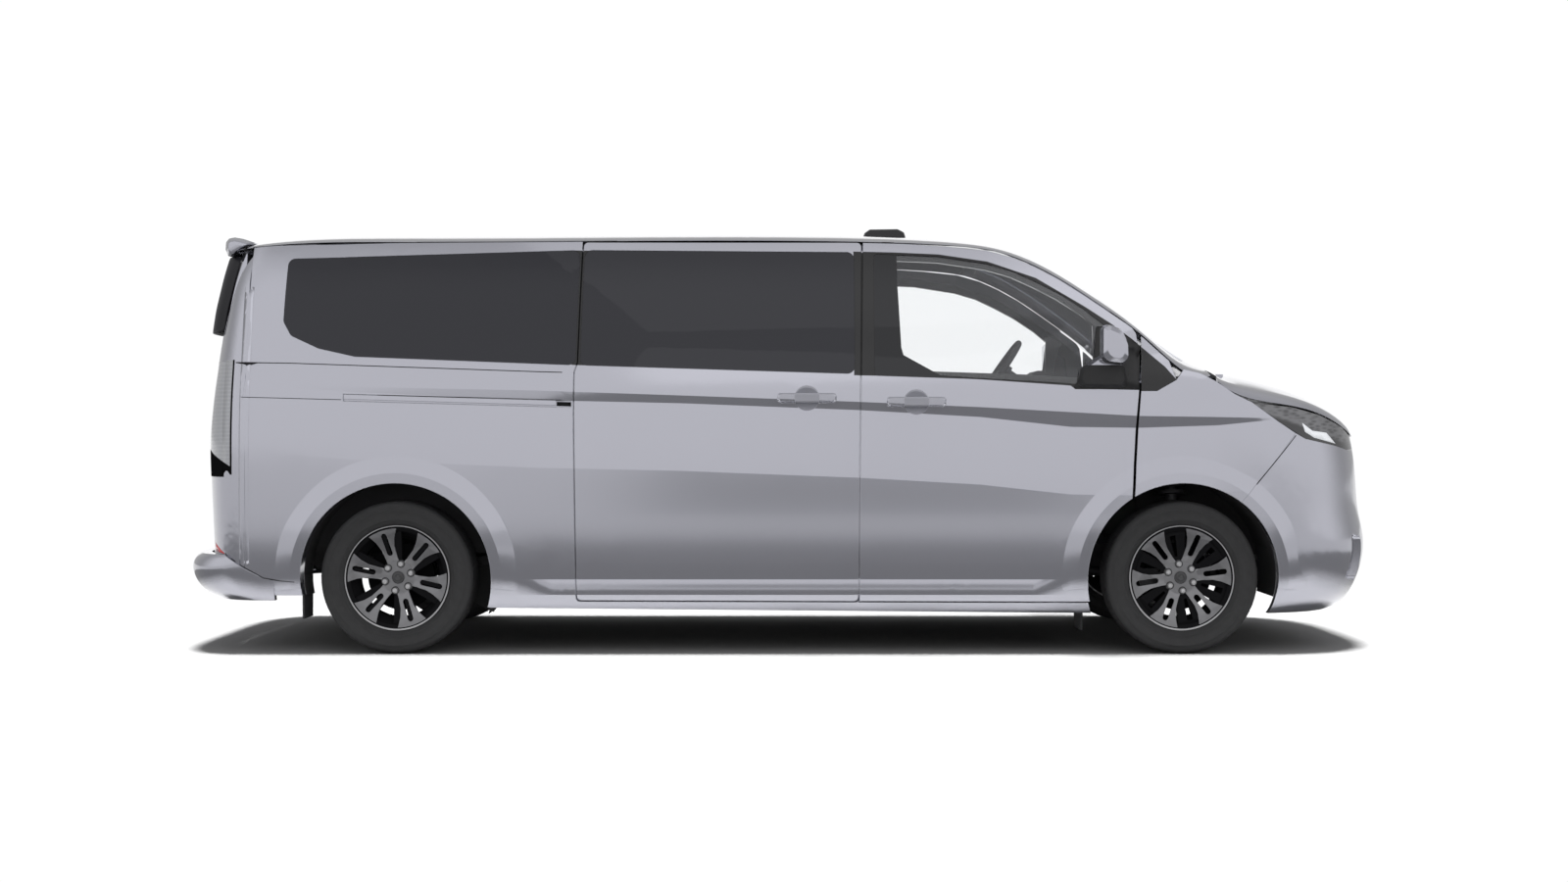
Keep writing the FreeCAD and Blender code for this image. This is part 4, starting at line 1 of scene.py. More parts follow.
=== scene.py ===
"""A long minibus in pale silver paint, standing on a white studio floor."""
import json
import math
import bpy
from mathutils import Matrix, Vector
from mathutils.bvhtree import BVHTree
from mathutils.geometry import delaunay_2d_cdt
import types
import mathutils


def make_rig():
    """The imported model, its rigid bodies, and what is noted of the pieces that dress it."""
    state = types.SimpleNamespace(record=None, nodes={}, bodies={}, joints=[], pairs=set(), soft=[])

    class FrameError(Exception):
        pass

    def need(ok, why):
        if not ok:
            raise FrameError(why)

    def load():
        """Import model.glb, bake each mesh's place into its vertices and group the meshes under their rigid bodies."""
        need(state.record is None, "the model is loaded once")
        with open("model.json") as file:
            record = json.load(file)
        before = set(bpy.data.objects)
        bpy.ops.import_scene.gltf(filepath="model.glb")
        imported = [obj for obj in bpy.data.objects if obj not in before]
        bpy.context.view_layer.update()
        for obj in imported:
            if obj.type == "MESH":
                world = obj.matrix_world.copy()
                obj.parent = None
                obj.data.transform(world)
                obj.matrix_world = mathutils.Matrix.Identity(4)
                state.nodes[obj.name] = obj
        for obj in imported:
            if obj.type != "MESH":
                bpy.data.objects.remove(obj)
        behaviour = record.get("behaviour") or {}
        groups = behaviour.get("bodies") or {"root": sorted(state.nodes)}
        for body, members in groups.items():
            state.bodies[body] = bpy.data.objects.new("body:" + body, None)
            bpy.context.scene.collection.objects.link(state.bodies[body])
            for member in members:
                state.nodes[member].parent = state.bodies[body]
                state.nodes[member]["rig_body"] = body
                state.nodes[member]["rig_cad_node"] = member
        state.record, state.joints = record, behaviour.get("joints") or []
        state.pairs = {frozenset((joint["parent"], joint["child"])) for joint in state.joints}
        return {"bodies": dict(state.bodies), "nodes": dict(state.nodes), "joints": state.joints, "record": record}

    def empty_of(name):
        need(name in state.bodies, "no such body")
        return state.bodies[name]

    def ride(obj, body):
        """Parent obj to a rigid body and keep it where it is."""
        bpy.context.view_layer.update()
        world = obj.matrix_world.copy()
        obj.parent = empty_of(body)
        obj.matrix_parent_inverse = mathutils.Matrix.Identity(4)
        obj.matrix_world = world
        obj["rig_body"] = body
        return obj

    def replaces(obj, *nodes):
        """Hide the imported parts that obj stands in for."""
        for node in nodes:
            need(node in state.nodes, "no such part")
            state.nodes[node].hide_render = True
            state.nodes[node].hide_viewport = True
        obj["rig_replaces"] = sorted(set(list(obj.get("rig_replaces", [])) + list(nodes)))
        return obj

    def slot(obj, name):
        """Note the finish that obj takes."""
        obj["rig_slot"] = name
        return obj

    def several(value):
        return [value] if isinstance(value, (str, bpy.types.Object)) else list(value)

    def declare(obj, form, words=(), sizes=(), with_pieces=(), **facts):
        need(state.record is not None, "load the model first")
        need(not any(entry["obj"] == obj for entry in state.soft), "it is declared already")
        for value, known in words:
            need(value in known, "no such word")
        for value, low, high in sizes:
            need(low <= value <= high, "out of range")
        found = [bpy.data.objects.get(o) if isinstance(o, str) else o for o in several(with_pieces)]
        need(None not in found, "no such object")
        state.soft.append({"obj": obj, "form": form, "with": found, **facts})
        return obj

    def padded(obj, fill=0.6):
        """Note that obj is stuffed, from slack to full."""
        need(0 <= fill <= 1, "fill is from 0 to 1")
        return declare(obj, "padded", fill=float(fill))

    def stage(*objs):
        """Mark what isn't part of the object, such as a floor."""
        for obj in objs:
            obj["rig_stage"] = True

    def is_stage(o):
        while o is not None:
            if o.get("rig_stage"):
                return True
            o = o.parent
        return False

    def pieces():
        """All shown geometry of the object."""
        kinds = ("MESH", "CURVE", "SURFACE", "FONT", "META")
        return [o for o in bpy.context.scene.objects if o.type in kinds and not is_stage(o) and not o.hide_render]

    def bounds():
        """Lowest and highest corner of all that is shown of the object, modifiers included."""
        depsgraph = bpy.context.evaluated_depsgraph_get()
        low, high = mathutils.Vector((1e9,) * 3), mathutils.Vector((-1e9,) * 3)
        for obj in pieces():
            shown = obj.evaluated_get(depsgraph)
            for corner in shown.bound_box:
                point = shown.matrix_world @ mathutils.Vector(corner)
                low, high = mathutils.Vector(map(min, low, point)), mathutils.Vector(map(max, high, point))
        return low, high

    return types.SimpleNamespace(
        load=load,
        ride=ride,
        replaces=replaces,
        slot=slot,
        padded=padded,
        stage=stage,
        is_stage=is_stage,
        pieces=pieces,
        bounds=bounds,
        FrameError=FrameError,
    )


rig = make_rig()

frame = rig.load()
NODES = frame["nodes"]


def write_size(key):
    """Keep the whole object's box in extents.json."""
    sizes = {}
    if key == "end":
        with open("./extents.json") as handle:
            sizes = json.load(handle)
    sizes[key] = [list(corner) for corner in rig.bounds()]
    with open("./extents.json", "w") as handle:
        json.dump(sizes, handle)


write_size("start")

# Sizes in metres, in the vehicle's own frame
PAINT_RGB = (0.455, 0.458, 0.512)
TRIM_RGB = (0.012, 0.012, 0.013)
FRONT_AXLE_X = 1.780
REAR_AXLE_X = -1.720
WHEEL_Y = 0.868
TYRE_RADIUS = 0.340
TYRE_HALF_WIDTH = 0.1125
RIM_RADIUS = 0.2335
RIM_LIP_RADIUS = 0.2285
SKIN = 0.0012
LINE_WIDTH = 0.0034
GRID = 0.045

# Sheets that close the arches' ends
ARCH_SHEET = 0.4335
ARCH_SHEET_THICKNESS = 0.004
ARCH_SHEET_OUTER = 0.925
REAR_SHEET_INNER = 0.700
FRONT_SHEET_INNER = 0.780
REAR_SCREEN_Y = (0.694, 0.698)
REAR_SCREEN_RADIUS = 0.300

# Wheel faces: spokes as places along and beside the spoke's own line
SPOKE_COUNT = 6
FRONT_SPOKE_DEG = 8.0
REAR_SPOKE_DEG = -12.0
SPOKE_SIDE = ((0.052, 0.026), (0.090, 0.0262), (0.138, 0.0305), (0.172, 0.042), (0.200, 0.058),
              (0.216, 0.0685))
SPOKE_THICKNESS = 0.009
FACE_RADIUS = 0.2285
FACE_EDGE_DEPTH = 0.0955
HUB_FACE_RADIUS = 0.076
HUB_FACE_DEPTH = 0.0685
SLOT_INNER = 0.113
SLOT_OUTER = 0.193
SLOT_HALF = 0.0120
NUT_CIRCLE = 0.0605
# Turned profiles as radius and height over the hub's face
NUT = ((0.0001, 0.018), (0.0085, 0.0175), (0.0120, 0.014), (0.0128, -0.001), (0.0001, -0.001))
NUT_SEAT = ((0.0001, 0.0022), (0.0180, 0.0022), (0.0185, -0.001), (0.0001, -0.001))
CENTRE_CAP = ((0.0001, 0.012), (0.020, 0.011), (0.0235, 0.009), (0.0245, 0.0105), (0.0265, 0.010),
              (0.0275, -0.001),
              (0.0001, -0.001))

# The tailgate's glass
WRAP_LOW = 1.440
WRAP_EDGE_X = -2.530
WRAP_RAKE = 0.183
WRAP_HIGH = 1.795
WRAP_SIDE = (
    (1.440, 0.802), (1.500, 0.811), (1.550, 0.816), (1.600, 0.803), (1.650, 0.790), (1.700, 0.776),
    (1.750, 0.752),
    (1.800, 0.722),
)
WRAP_DEPTH = 0.084
WRAP_BOW = 0.050
WRAP_POWER = 12.0

# The painted lip over the rear glass: its section as x, z places, and its shares of the half width
SPOILER_SECTION = (
    (-2.424, 1.856), (-2.470, 1.872), (-2.505, 1.878), (-2.532, 1.873), (-2.546, 1.855), (-2.548, 1.822),
    (-2.536, 1.792), (-2.512, 1.786), (-2.492, 1.806), (-2.456, 1.832), (-2.426, 1.843),
)
SPOILER_shares = (-1.0, -0.985, -0.94, -0.80, -0.5, -0.2, 0.2, 0.5, 0.80, 0.94, 0.985, 1.0)
SPOILER_MIDDLE = (-2.490, 1.830)
SPOILER_HALF = 0.740
SPOILER_BOW = 0.030
SPOILER_CROWN = 0.018
SPOILER_TUCK_START = 0.94
SPOILER_TUCK = 0.35

# Studio light
SKY_HIGH = 0.55
SKY_SIDE = 0.98
SKY_FAR = 0.42
HORIZON = 0.42
STRIP = 0.80
GROUND = 0.26
FLOOR_SUN = 12.0
FLOOR_SEEN = (0.28, 0.28, 0.28)
FLOOR_BOUNCE = (0.06, 0.06, 0.06)
KEY_POWER = 40.0
FLOOR_HALF = (3.60, 2.10)
FLOOR_FADE = 0.90

# Shoulder crease: x, upper edge and lower edge of the band that faces down
SHOULDER = (
    (-2.30, 1.200, 1.196), (-1.90, 1.190, 1.166), (-1.10, 1.174, 1.131), (-0.45, 1.152, 1.117),
    (0.35, 1.123, 1.086),
    (0.88, 1.100, 1.056), (1.28, 1.078, 1.012), (1.58, 1.061, 1.008), (1.93, 1.056, 1.019),
    (2.20, 1.050, 1.046),
)
# Round dishes behind the right handles, as x, z places
HANDLE_PLACES = ((0.108, 1.141), (0.594, 1.124))
HANDLE_DISH = 0.0555

# Black zones on the painted side, as x, z places of their upper and lower lines
FRONT_WINDOW_TOP = (
    (0.318, 1.802), (0.50, 1.798), (0.70, 1.789), (0.92, 1.756), (1.135, 1.681), (1.350, 1.552),
    (1.470, 1.472), (1.511, 1.440),
    (1.563, 1.401), (1.600, 1.370),
)
FRONT_WINDOW_LOW = ((0.318, 1.242), (0.70, 1.233), (0.90, 1.222), (1.280, 1.196), (1.300, 1.182),
                    (1.600, 1.176))
REAR_POST_TOP = ((-0.940, 1.807), (-0.870, 1.806))
REAR_POST_LOW = ((-0.940, 1.288), (-0.870, 1.286))
# The black print on the front door's glass, as x, z places of its lower edge and z, x places of its rear edge
FRONT_PRINT_LOW = ((0.518, 1.360), (0.535, 1.335), (0.700, 1.243), (0.900, 1.229), (1.300, 1.203))
FRONT_PRINT_REAR = ((1.200, 0.548), (1.360, 0.530), (1.640, 0.515), (1.780, 0.512))
# The tail lamp's dark front rim, as z, x places
TAIL_LAMP_FRONT = ((0.790, -2.4555), (1.330, -2.4555))
TAIL_LAMP_SIDE = ((-2.496, 1.312), (-2.448, 1.312), (-2.448, 0.800), (-2.496, 0.800))
# The rear glass's front edge on the corner, as z, x places
GATE_GLASS_EDGE = ((1.452, -2.551), (1.600, -2.527), (1.782, -2.491))


# Node graph helpers


class Graph:
    """Short calls for building one material's nodes."""

    def __init__(self, name):
        self.material = bpy.data.materials.new(name)
        self.material.use_nodes = True
        self.tree = self.material.node_tree
        self.tree.nodes.clear()
        self.output = self.node("OutputMaterial")

    def node(self, kind, **inputs):
        made = self.tree.nodes.new("ShaderNode" + kind)
        for key, value in inputs.items():
            self.put(made, key, value)
        return made

    def put(self, node, key, value):
        numbered = key[0] == "i" and key[1:].isdigit()
        socket = node.inputs[int(key[1:]) if numbered else key.replace("_", " ")]
        if isinstance(value, bpy.types.NodeSocket):
            self.tree.links.new(value, socket)
        elif isinstance(value, tuple) and len(value) == 3 and socket.type == "RGBA":
            socket.default_value = value + (1.0,)
        else:
            socket.default_value = value

    def math(self, operation, a, b=0.0, clamp=False):
        made = self.node("Math", i0=a, i1=b)
        made.operation = operation
        made.use_clamp = clamp
        return made.outputs[0]

    def curve(self, value, pairs):
        """A line through x, y pairs, read at value."""
        lows = [p[0] for p in pairs]
        tall = [p[1] for p in pairs]
        wide = max(lows) - min(lows)
        made = self.node("FloatCurve",
                         Value=self.math("DIVIDE", self.math("SUBTRACT", value, min(lows)), wide, True))
        line = made.mapping.curves[0]
        span = max(max(tall) - min(tall), 0.001)
        for index, (x, y) in enumerate(pairs):
            place = ((x - min(lows)) / wide, (y - min(tall)) / span)
            if index < 2:
                line.points[index].location = place
            else:
                line.points.new(*place)
        for point in line.points:
            point.handle_type = "VECTOR"
        made.mapping.update()
        return self.math("ADD", self.math("MULTIPLY", made.outputs[0], span), min(tall))

    def mix(self, factor, a, b):
        made = self.node("Mix")
        made.data_type = "RGBA"
        for socket, value in ((made.inputs[0], factor), (made.inputs[6], a), (made.inputs[7], b)):
            if isinstance(value, bpy.types.NodeSocket):
                self.tree.links.new(value, socket)
            else:
                socket.default_value = value + (1.0,) if isinstance(value, tuple) else value
        return made.outputs[2]

    def noise(self, scale, detail=4.0, vector=None):
        made = self.node("TexNoise", Scale=scale, Detail=detail)
        if vector is not None:
            self.put(made, "Vector", vector)
        return made.outputs["Fac"]

    def ramp(self, value, low, high):
        """0 below low, 1 above high."""
        made = self.node("MapRange", Value=value, From_Min=low, From_Max=high)
        made.interpolation_type = "SMOOTHSTEP"
        return made.outputs[0]

    def place(self):
        made = self.node("SeparateXYZ", Vector=self.node("TexCoord").outputs["Object"])
        return made.outputs

    def finish(self, shader):
        self.tree.links.new(shader, self.output.inputs["Surface"])
        return self.material


def rounded(g, radius, height=None, distance=1.0, strength=1.0):
    """A normal with softened edges, and a bump where a height is given."""
    bevel = g.node("Bevel", Radius=radius)
    bevel.samples = 4
    normal = bevel.outputs[0]
    if height is None:
        return normal
    return g.node("Bump", Height=height, Distance=distance, Strength=strength, Normal=normal).outputs[0]


def crease_height(g, x, z):
    """The body side's pressed creases, in metres outwards."""
    across = g.math("ABSOLUTE", g.place()[1])
    top = g.curve(x, [(a, b) for a, b, c in SHOULDER])
    low = g.curve(x, [(a, c) for a, b, c in SHOULDER])
    band = g.math("DIVIDE", g.math("SUBTRACT", top, z),
                  g.math("MAXIMUM", g.math("SUBTRACT", top, low), 0.004), True)
    back = g.math("DIVIDE", g.math("SUBTRACT", low, z), 0.30, True)
    depth = g.curve(x, [(-2.30, 0.0), (-1.9, 0.004), (-1.0, 0.009), (1.3, 0.012), (1.9, 0.008), (2.2, 0.0)])
    shoulder = g.math("MULTIPLY", g.math("SUBTRACT", back, band), depth)
    rise = g.math("DIVIDE", g.math("SUBTRACT", 0.334, z), 0.070, True)
    reach = g.curve(x, [(-1.20, 0.0), (-1.02, 0.014), (1.12, 0.014), (1.28, 0.0)])
    sill = g.math("MULTIPLY", rise, reach)
    side = g.ramp(across, 0.80, 0.86)
    return g.math("MULTIPLY", g.math("ADD", shoulder, sill), side)


def between(g, x, z, tops, lows):
    """1 where z lies between two lines over the same stretch of x."""
    start = max(tops[0][0], lows[0][0])
    end = min(tops[-1][0], lows[-1][0])
    along = g.math("MULTIPLY", g.math("GREATER_THAN", x, start), g.math("LESS_THAN", x, end))
    under = g.math("LESS_THAN", z, g.curve(x, tops))
    over = g.math("GREATER_THAN", z, g.curve(x, lows))
    return g.math("MULTIPLY", along, g.math("MULTIPLY", under, over))


def black_zones(g, x, y, z):
    """The gloss black round the side windows, and the rear glass's dark edge on the corner."""
    front = between(g, x, z, FRONT_WINDOW_TOP, FRONT_WINDOW_LOW)
    post = between(g, x, z, REAR_POST_TOP, REAR_POST_LOW)
    side = g.math("MULTIPLY", g.math("MAXIMUM", front, post),
                  g.math("GREATER_THAN", g.math("ABSOLUTE", y), 0.60))
    edge = g.curve(z, GATE_GLASS_EDGE)
    high = g.math("MULTIPLY", g.math("GREATER_THAN", z, GATE_GLASS_EDGE[0][0]),
                  g.math("LESS_THAN", z, GATE_GLASS_EDGE[-1][0]))
    return side, g.math("MULTIPLY", high, g.math("LESS_THAN", x, edge))


def paint_shader(g):
    x, y, z = g.place()
    height = crease_height(g, x, z)
    flakes = g.node("TexVoronoi", Scale=2600.0)
    glint = g.math("MULTIPLY", flakes.outputs["Distance"], 0.06)
    cloud = g.math("MULTIPLY", g.noise(1.6), 0.05)
    tone = g.math("SUBTRACT", g.math("ADD", 0.96, glint), cloud)
    colour = g.node("HueSaturation", Color=PAINT_RGB, Value=tone).outputs[0]
    orange = g.math("MULTIPLY", g.noise(420.0, 2.0), 0.00002)
    normal = rounded(g, 0.004, g.math("ADD", height, orange))
    made = g.node("BsdfPrincipled", Base_Color=colour, Metallic=0.85, Roughness=0.12, Normal=normal)
    made.inputs["Coat Weight"].default_value = 1.0
    made.inputs["Coat Roughness"].default_value = 0.04
    g.put(made, "Coat Normal", normal)
    return made.outputs[0]


def trim_shader(g, colour=TRIM_RGB, rough=0.5, grain=900.0, coat=0.0, radius=0.003):
    tone = g.mix(g.noise(6.0), colour, tuple(c * 1.5 for c in colour))
    normal = rounded(g, radius, g.noise(grain, 3.0), 0.0002, 0.5)
    spread = g.math("ADD", rough, g.math("MULTIPLY", g.noise(14.0), 0.08))
    made = g.node("BsdfPrincipled", Base_Color=tone, Roughness=spread, Normal=normal)
    made.inputs["Coat Weight"].default_value = coat
    made.inputs["Coat Roughness"].default_value = 0.03
    return made.outputs[0]


def mixed(g, factor, a, b):
    return g.node("MixShader", i0=factor, i1=a, i2=b).outputs[0]


def handle_dishes(g, x, z):
    """1 inside the round dishes behind the door handles."""
    found = 0.0
    for place_x, place_z in HANDLE_PLACES:
        dx = g.math("SUBTRACT", x, place_x)
        dz = g.math("SUBTRACT", z, place_z)
        reach = g.math("ADD", g.math("MULTIPLY", dx, dx), g.math("MULTIPLY", dz, dz))
        found = g.math("MAXIMUM", g.math("LESS_THAN", reach, HANDLE_DISH ** 2), found)
    return found


def matt_black(g, colour=(0.030, 0.030, 0.034)):
    """Tinted glass over a dark frame, without a mirror's glare at its rim."""
    made = g.node("BsdfPrincipled", Base_Color=colour, Roughness=0.5)
    made.inputs["Specular IOR Level"].default_value = 0.0
    return made.outputs[0]


def body_paint():
    """Paint outside, and grey cabin trim on the faces that look inwards."""
    g = Graph("body_paint")
    x, y, z = g.place()
    normal = g.node("SeparateXYZ", Vector=g.node("TexCoord").outputs["Normal"]).outputs
    inward = g.math("LESS_THAN", g.math("MULTIPLY", normal[1], y), -0.25)
    under = g.math("MULTIPLY", g.math("LESS_THAN", normal[2], -0.6), g.math("GREATER_THAN", z, 1.30))
    ahead = g.math("MULTIPLY", g.math("LESS_THAN", g.math("MULTIPLY", normal[0], x), -1.2),
                   g.math("GREATER_THAN", z, 0.50))
    inside = g.math("MAXIMUM", g.math("MAXIMUM", inward, under), ahead)
    within = g.math("LESS_THAN", g.math("ABSOLUTE", y),
                    g.curve(z, [(0.2, 0.90), (1.1, 0.93), (1.3, 0.915), (1.9, 0.74)]))
    inside = g.math("MULTIPLY", inside, g.math("MULTIPLY", within, g.math("GREATER_THAN", x, -2.46)))
    lining = trim_shader(g, (0.07, 0.07, 0.072), 0.7, 1200.0)
    black = trim_shader(g, (0.006, 0.006, 0.007), 0.16)
    side, rear = black_zones(g, x, y, z)
    # The dishes behind the handles take a duller, darker grey copy of the paint: painted shade in the recesses.
    painted_dish_shade = g.math("MULTIPLY", handle_dishes(g, x, z), g.math("GREATER_THAN", g.math("ABSOLUTE", y), 0.90))
    shade = g.node("BsdfPrincipled", Base_Color=(0.40, 0.403, 0.45), Roughness=0.45).outputs[0]
    outer = mixed(g, side, mixed(g, painted_dish_shade, paint_shader(g), shade), black)
    outer = mixed(g, rear, outer, matt_black(g))
    return g.finish(mixed(g, inside, outer, lining))


def plain_paint():
    g = Graph("plain_paint")
    return g.finish(paint_shader(g))


def structure_paint():
    """Near-black low down, partly dark underbody and partly painted shade for the structure seen inside the wheel
    arches; body paint round the windscreen.
    """
    g = Graph("structure_paint")
    x, y, z = g.place()
    dark = trim_shader(g, (0.022, 0.022, 0.023), 0.75, 120.0)
    return g.finish(mixed(g, g.math("GREATER_THAN", z, 1.16), dark, paint_shader(g)))


def pillar_material():
    """Gloss black below the mirror's line, body paint above it."""
    g = Graph("pillar_panel")
    x, y, z = g.place()
    line = g.curve(x, [(1.40, 1.512), (1.511, 1.440), (1.563, 1.401), (1.703, 1.281), (1.753, 1.222),
                       (1.80, 1.150)])
    black = trim_shader(g, (0.006, 0.006, 0.007), 0.16)
    return g.finish(mixed(g, g.math("GREATER_THAN", z, line), black, paint_shader(g)))


def trim(name, colour, rough, grain=900.0, coat=0.0, radius=0.003):
    g = Graph(name)
    return g.finish(trim_shader(g, colour, rough, grain, coat, radius))


def glazing(name, tint, body, share, printed=False):
    """Thin glass: a tinted see-through part, a dark body and a mirror-like surface, with a black printed edge."""
    g = Graph(name)
    clear = g.node("BsdfTransparent", Color=tint).outputs[0]
    dark = g.node("BsdfDiffuse", Color=body).outputs[0]
    wave = g.node("Bump", Height=g.noise(1.1, 1.0), Distance=0.004, Strength=0.3).outputs[0]
    gloss = g.node("BsdfGlossy", Color=(0.95, 0.96, 1.0), Roughness=0.02, Normal=wave).outputs[0]
    mirror = g.node("Fresnel", IOR=1.46, Normal=wave).outputs[0]
    core = mixed(g, share, clear, dark)
    if printed:
        x, y, z = g.place()
        low = g.math("LESS_THAN", z, g.curve(x, FRONT_PRINT_LOW))
        behind = g.math("LESS_THAN", x, g.curve(z, FRONT_PRINT_REAR))
        core = mixed(g, g.math("MAXIMUM", low, behind), core, dark)
    return g.finish(mixed(g, mirror, core, gloss))


def rear_glass():
    g = Graph("rear_glass")
    gloss = trim_shader(g, (0.010, 0.010, 0.012), 0.14)
    return g.finish(mixed(g, 0.35, matt_black(g), gloss))


def rim_material():
    """A pale turned lip on a dark barrel."""
    g = Graph("rim_barrel_and_lip")
    x, y, z = g.place()
    dx = g.math("SUBTRACT", g.math("ABSOLUTE", g.math("ADD", x, -(FRONT_AXLE_X + REAR_AXLE_X) / 2)),
                (FRONT_AXLE_X - REAR_AXLE_X) / 2)
    dz = g.math("SUBTRACT", z, TYRE_RADIUS)
    radius = g.math("SQRT", g.math("ADD", g.math("MULTIPLY", dx, dx), g.math("MULTIPLY", dz, dz)))
    lip = g.math("GREATER_THAN", radius, RIM_LIP_RADIUS)
    normal = rounded(g, 0.003, g.noise(400.0, 2.0), 0.0001, 0.4)
    turned = g.node("BsdfPrincipled", Base_Color=(0.42, 0.42, 0.43), Metallic=0.7, Roughness=0.35,
                    Normal=normal)
    return g.finish(mixed(g, lip, matt_black(g, (0.012, 0.012, 0.013)), turned.outputs[0]))


def alloy_material():
    g = Graph("alloy_wheel")
    tone = g.mix(g.noise(9.0), (0.17, 0.17, 0.178), (0.22, 0.22, 0.228))
    normal = rounded(g, 0.0035, g.noise(700.0, 2.0), 0.0001, 0.4)
    made = g.node("BsdfPrincipled", Base_Color=tone, Metallic=0.85, Roughness=0.28, Normal=normal)
    made.inputs["Coat Weight"].default_value = 0.6
    return g.finish(made.outputs[0])


def metal(name, colour, rough, grain=60.0):
    g = Graph(name)
    tone = g.mix(g.noise(grain / 4), colour, tuple(c * 0.55 for c in colour))
    normal = rounded(g, 0.004, g.noise(grain, 6.0), 0.0016, 0.6)
    return g.finish(g.node("BsdfPrincipled", Base_Color=tone, Metallic=0.6, Roughness=rough,
                           Normal=normal).outputs[0])


def rubber():
    g = Graph("tyre_rubber")
    tone = g.mix(g.noise(18.0), (0.018, 0.018, 0.019), (0.030, 0.030, 0.031))
    normal = rounded(g, 0.002, g.noise(500.0, 3.0), 0.0004, 0.5)
    return g.finish(g.node("BsdfPrincipled", Base_Color=tone, Roughness=0.72, Normal=normal).outputs[0])


def cloth():
    g = Graph("seat_weave")
    made = g.node("TexWave", Scale=260.0, Distortion=0.6, Detail=1.0)
    made.bands_direction = "DIAGONAL"
    weave = g.math("ADD", made.outputs["Fac"], g.noise(900.0, 2.0))
    tone = g.mix(weave, (0.030, 0.030, 0.033), (0.062, 0.062, 0.068))
    normal = g.node("Bump", Height=weave, Distance=0.0006, Strength=0.6).outputs[0]
    shader = g.node("BsdfPrincipled", Base_Color=tone, Roughness=0.95, Normal=normal)
    shader.inputs["Sheen Weight"].default_value = 0.4
    return g.finish(shader.outputs[0])


def carpet():
    g = Graph("floor_and_underbody")
    x, y, z = g.place()
    above = g.math("GREATER_THAN", z, 0.462)
    pile = trim_shader(g, (0.035, 0.035, 0.037), 0.95, 1500.0)
    under = trim_shader(g, (0.022, 0.022, 0.023), 0.75, 120.0)
    return g.finish(mixed(g, above, under, pile))


def mirror_material():
    """The mirror's painted cap above and outside its black foot."""
    g = Graph("door_mirror")
    x, y, z = g.place()
    out = g.math("ABSOLUTE", y)
    cap = g.math("MULTIPLY", g.math("GREATER_THAN", z, 1.286), g.math("GREATER_THAN", out, 1.006))
    return g.finish(mixed(g, cap, trim_shader(g), paint_shader(g)))


def lamp_material():
    """Clear ribbed lens over a grey lamp body, black below a slanting line."""
    g = Graph("tail_lamp_lens")
    x, y, z = g.place()
    slant = g.math("ADD", z, g.math("MULTIPLY", g.math("ADD", x, 2.56), 0.55))
    black = g.math("LESS_THAN", slant, 0.895)
    inner = g.math("LESS_THAN", g.math("ABSOLUTE", y), 0.80)
    ribs = g.math("SINE", g.math("MULTIPLY", z, 360.0))
    tone = g.mix(g.ramp(ribs, -0.4, 0.9), (0.41, 0.42, 0.45), (0.46, 0.47, 0.50))
    red = g.mix(g.ramp(ribs, -0.6, 0.6), (0.16, 0.006, 0.006), (0.34, 0.014, 0.012))
    tone = g.mix(inner, tone, red)
    normal = g.node("Bump", Height=ribs, Distance=0.0010, Strength=0.3).outputs[0]
    front = g.math("GREATER_THAN", x, g.curve(z, TAIL_LAMP_FRONT))
    black = g.math("MAXIMUM", black, front)
    shader = g.node("BsdfPrincipled", Base_Color=tone, Roughness=0.25, Normal=normal)
    shader.inputs["Coat Weight"].default_value = 1.0
    shader.inputs["Coat Roughness"].default_value = 0.02
    return g.finish(mixed(g, black, shader.outputs[0], matt_black(g, (0.008, 0.008, 0.009))))


def headlamp_material():
    """A smoky clear cover over a black and silver reflector."""
    g = Graph("headlamp_cover")
    x, y, z = g.place()
    slant = g.math("SUBTRACT", z, g.math("MULTIPLY", g.math("SUBTRACT", 2.62, x), 0.33))
    bowl = g.ramp(g.node("TexVoronoi", Scale=16.0).outputs["Distance"], 0.1, 0.7)
    tone = g.mix(bowl, (0.05, 0.05, 0.055), (0.17, 0.17, 0.18))
    tone = g.mix(g.ramp(slant, 0.905, 0.925), (0.02, 0.02, 0.022), tone)
    shader = g.node("BsdfPrincipled", Base_Color=tone, Roughness=0.22, Metallic=0.3)
    shader.inputs["Coat Weight"].default_value = 1.0
    shader.inputs["Coat Roughness"].default_value = 0.02
    return g.finish(shader.outputs[0])


def glowing(name, colour, strength):
    g = Graph(name)
    return g.finish(g.node("BsdfPrincipled", Base_Color=colour, Roughness=0.3, Emission_Color=colour,
                           Emission_Strength=strength).outputs[0])


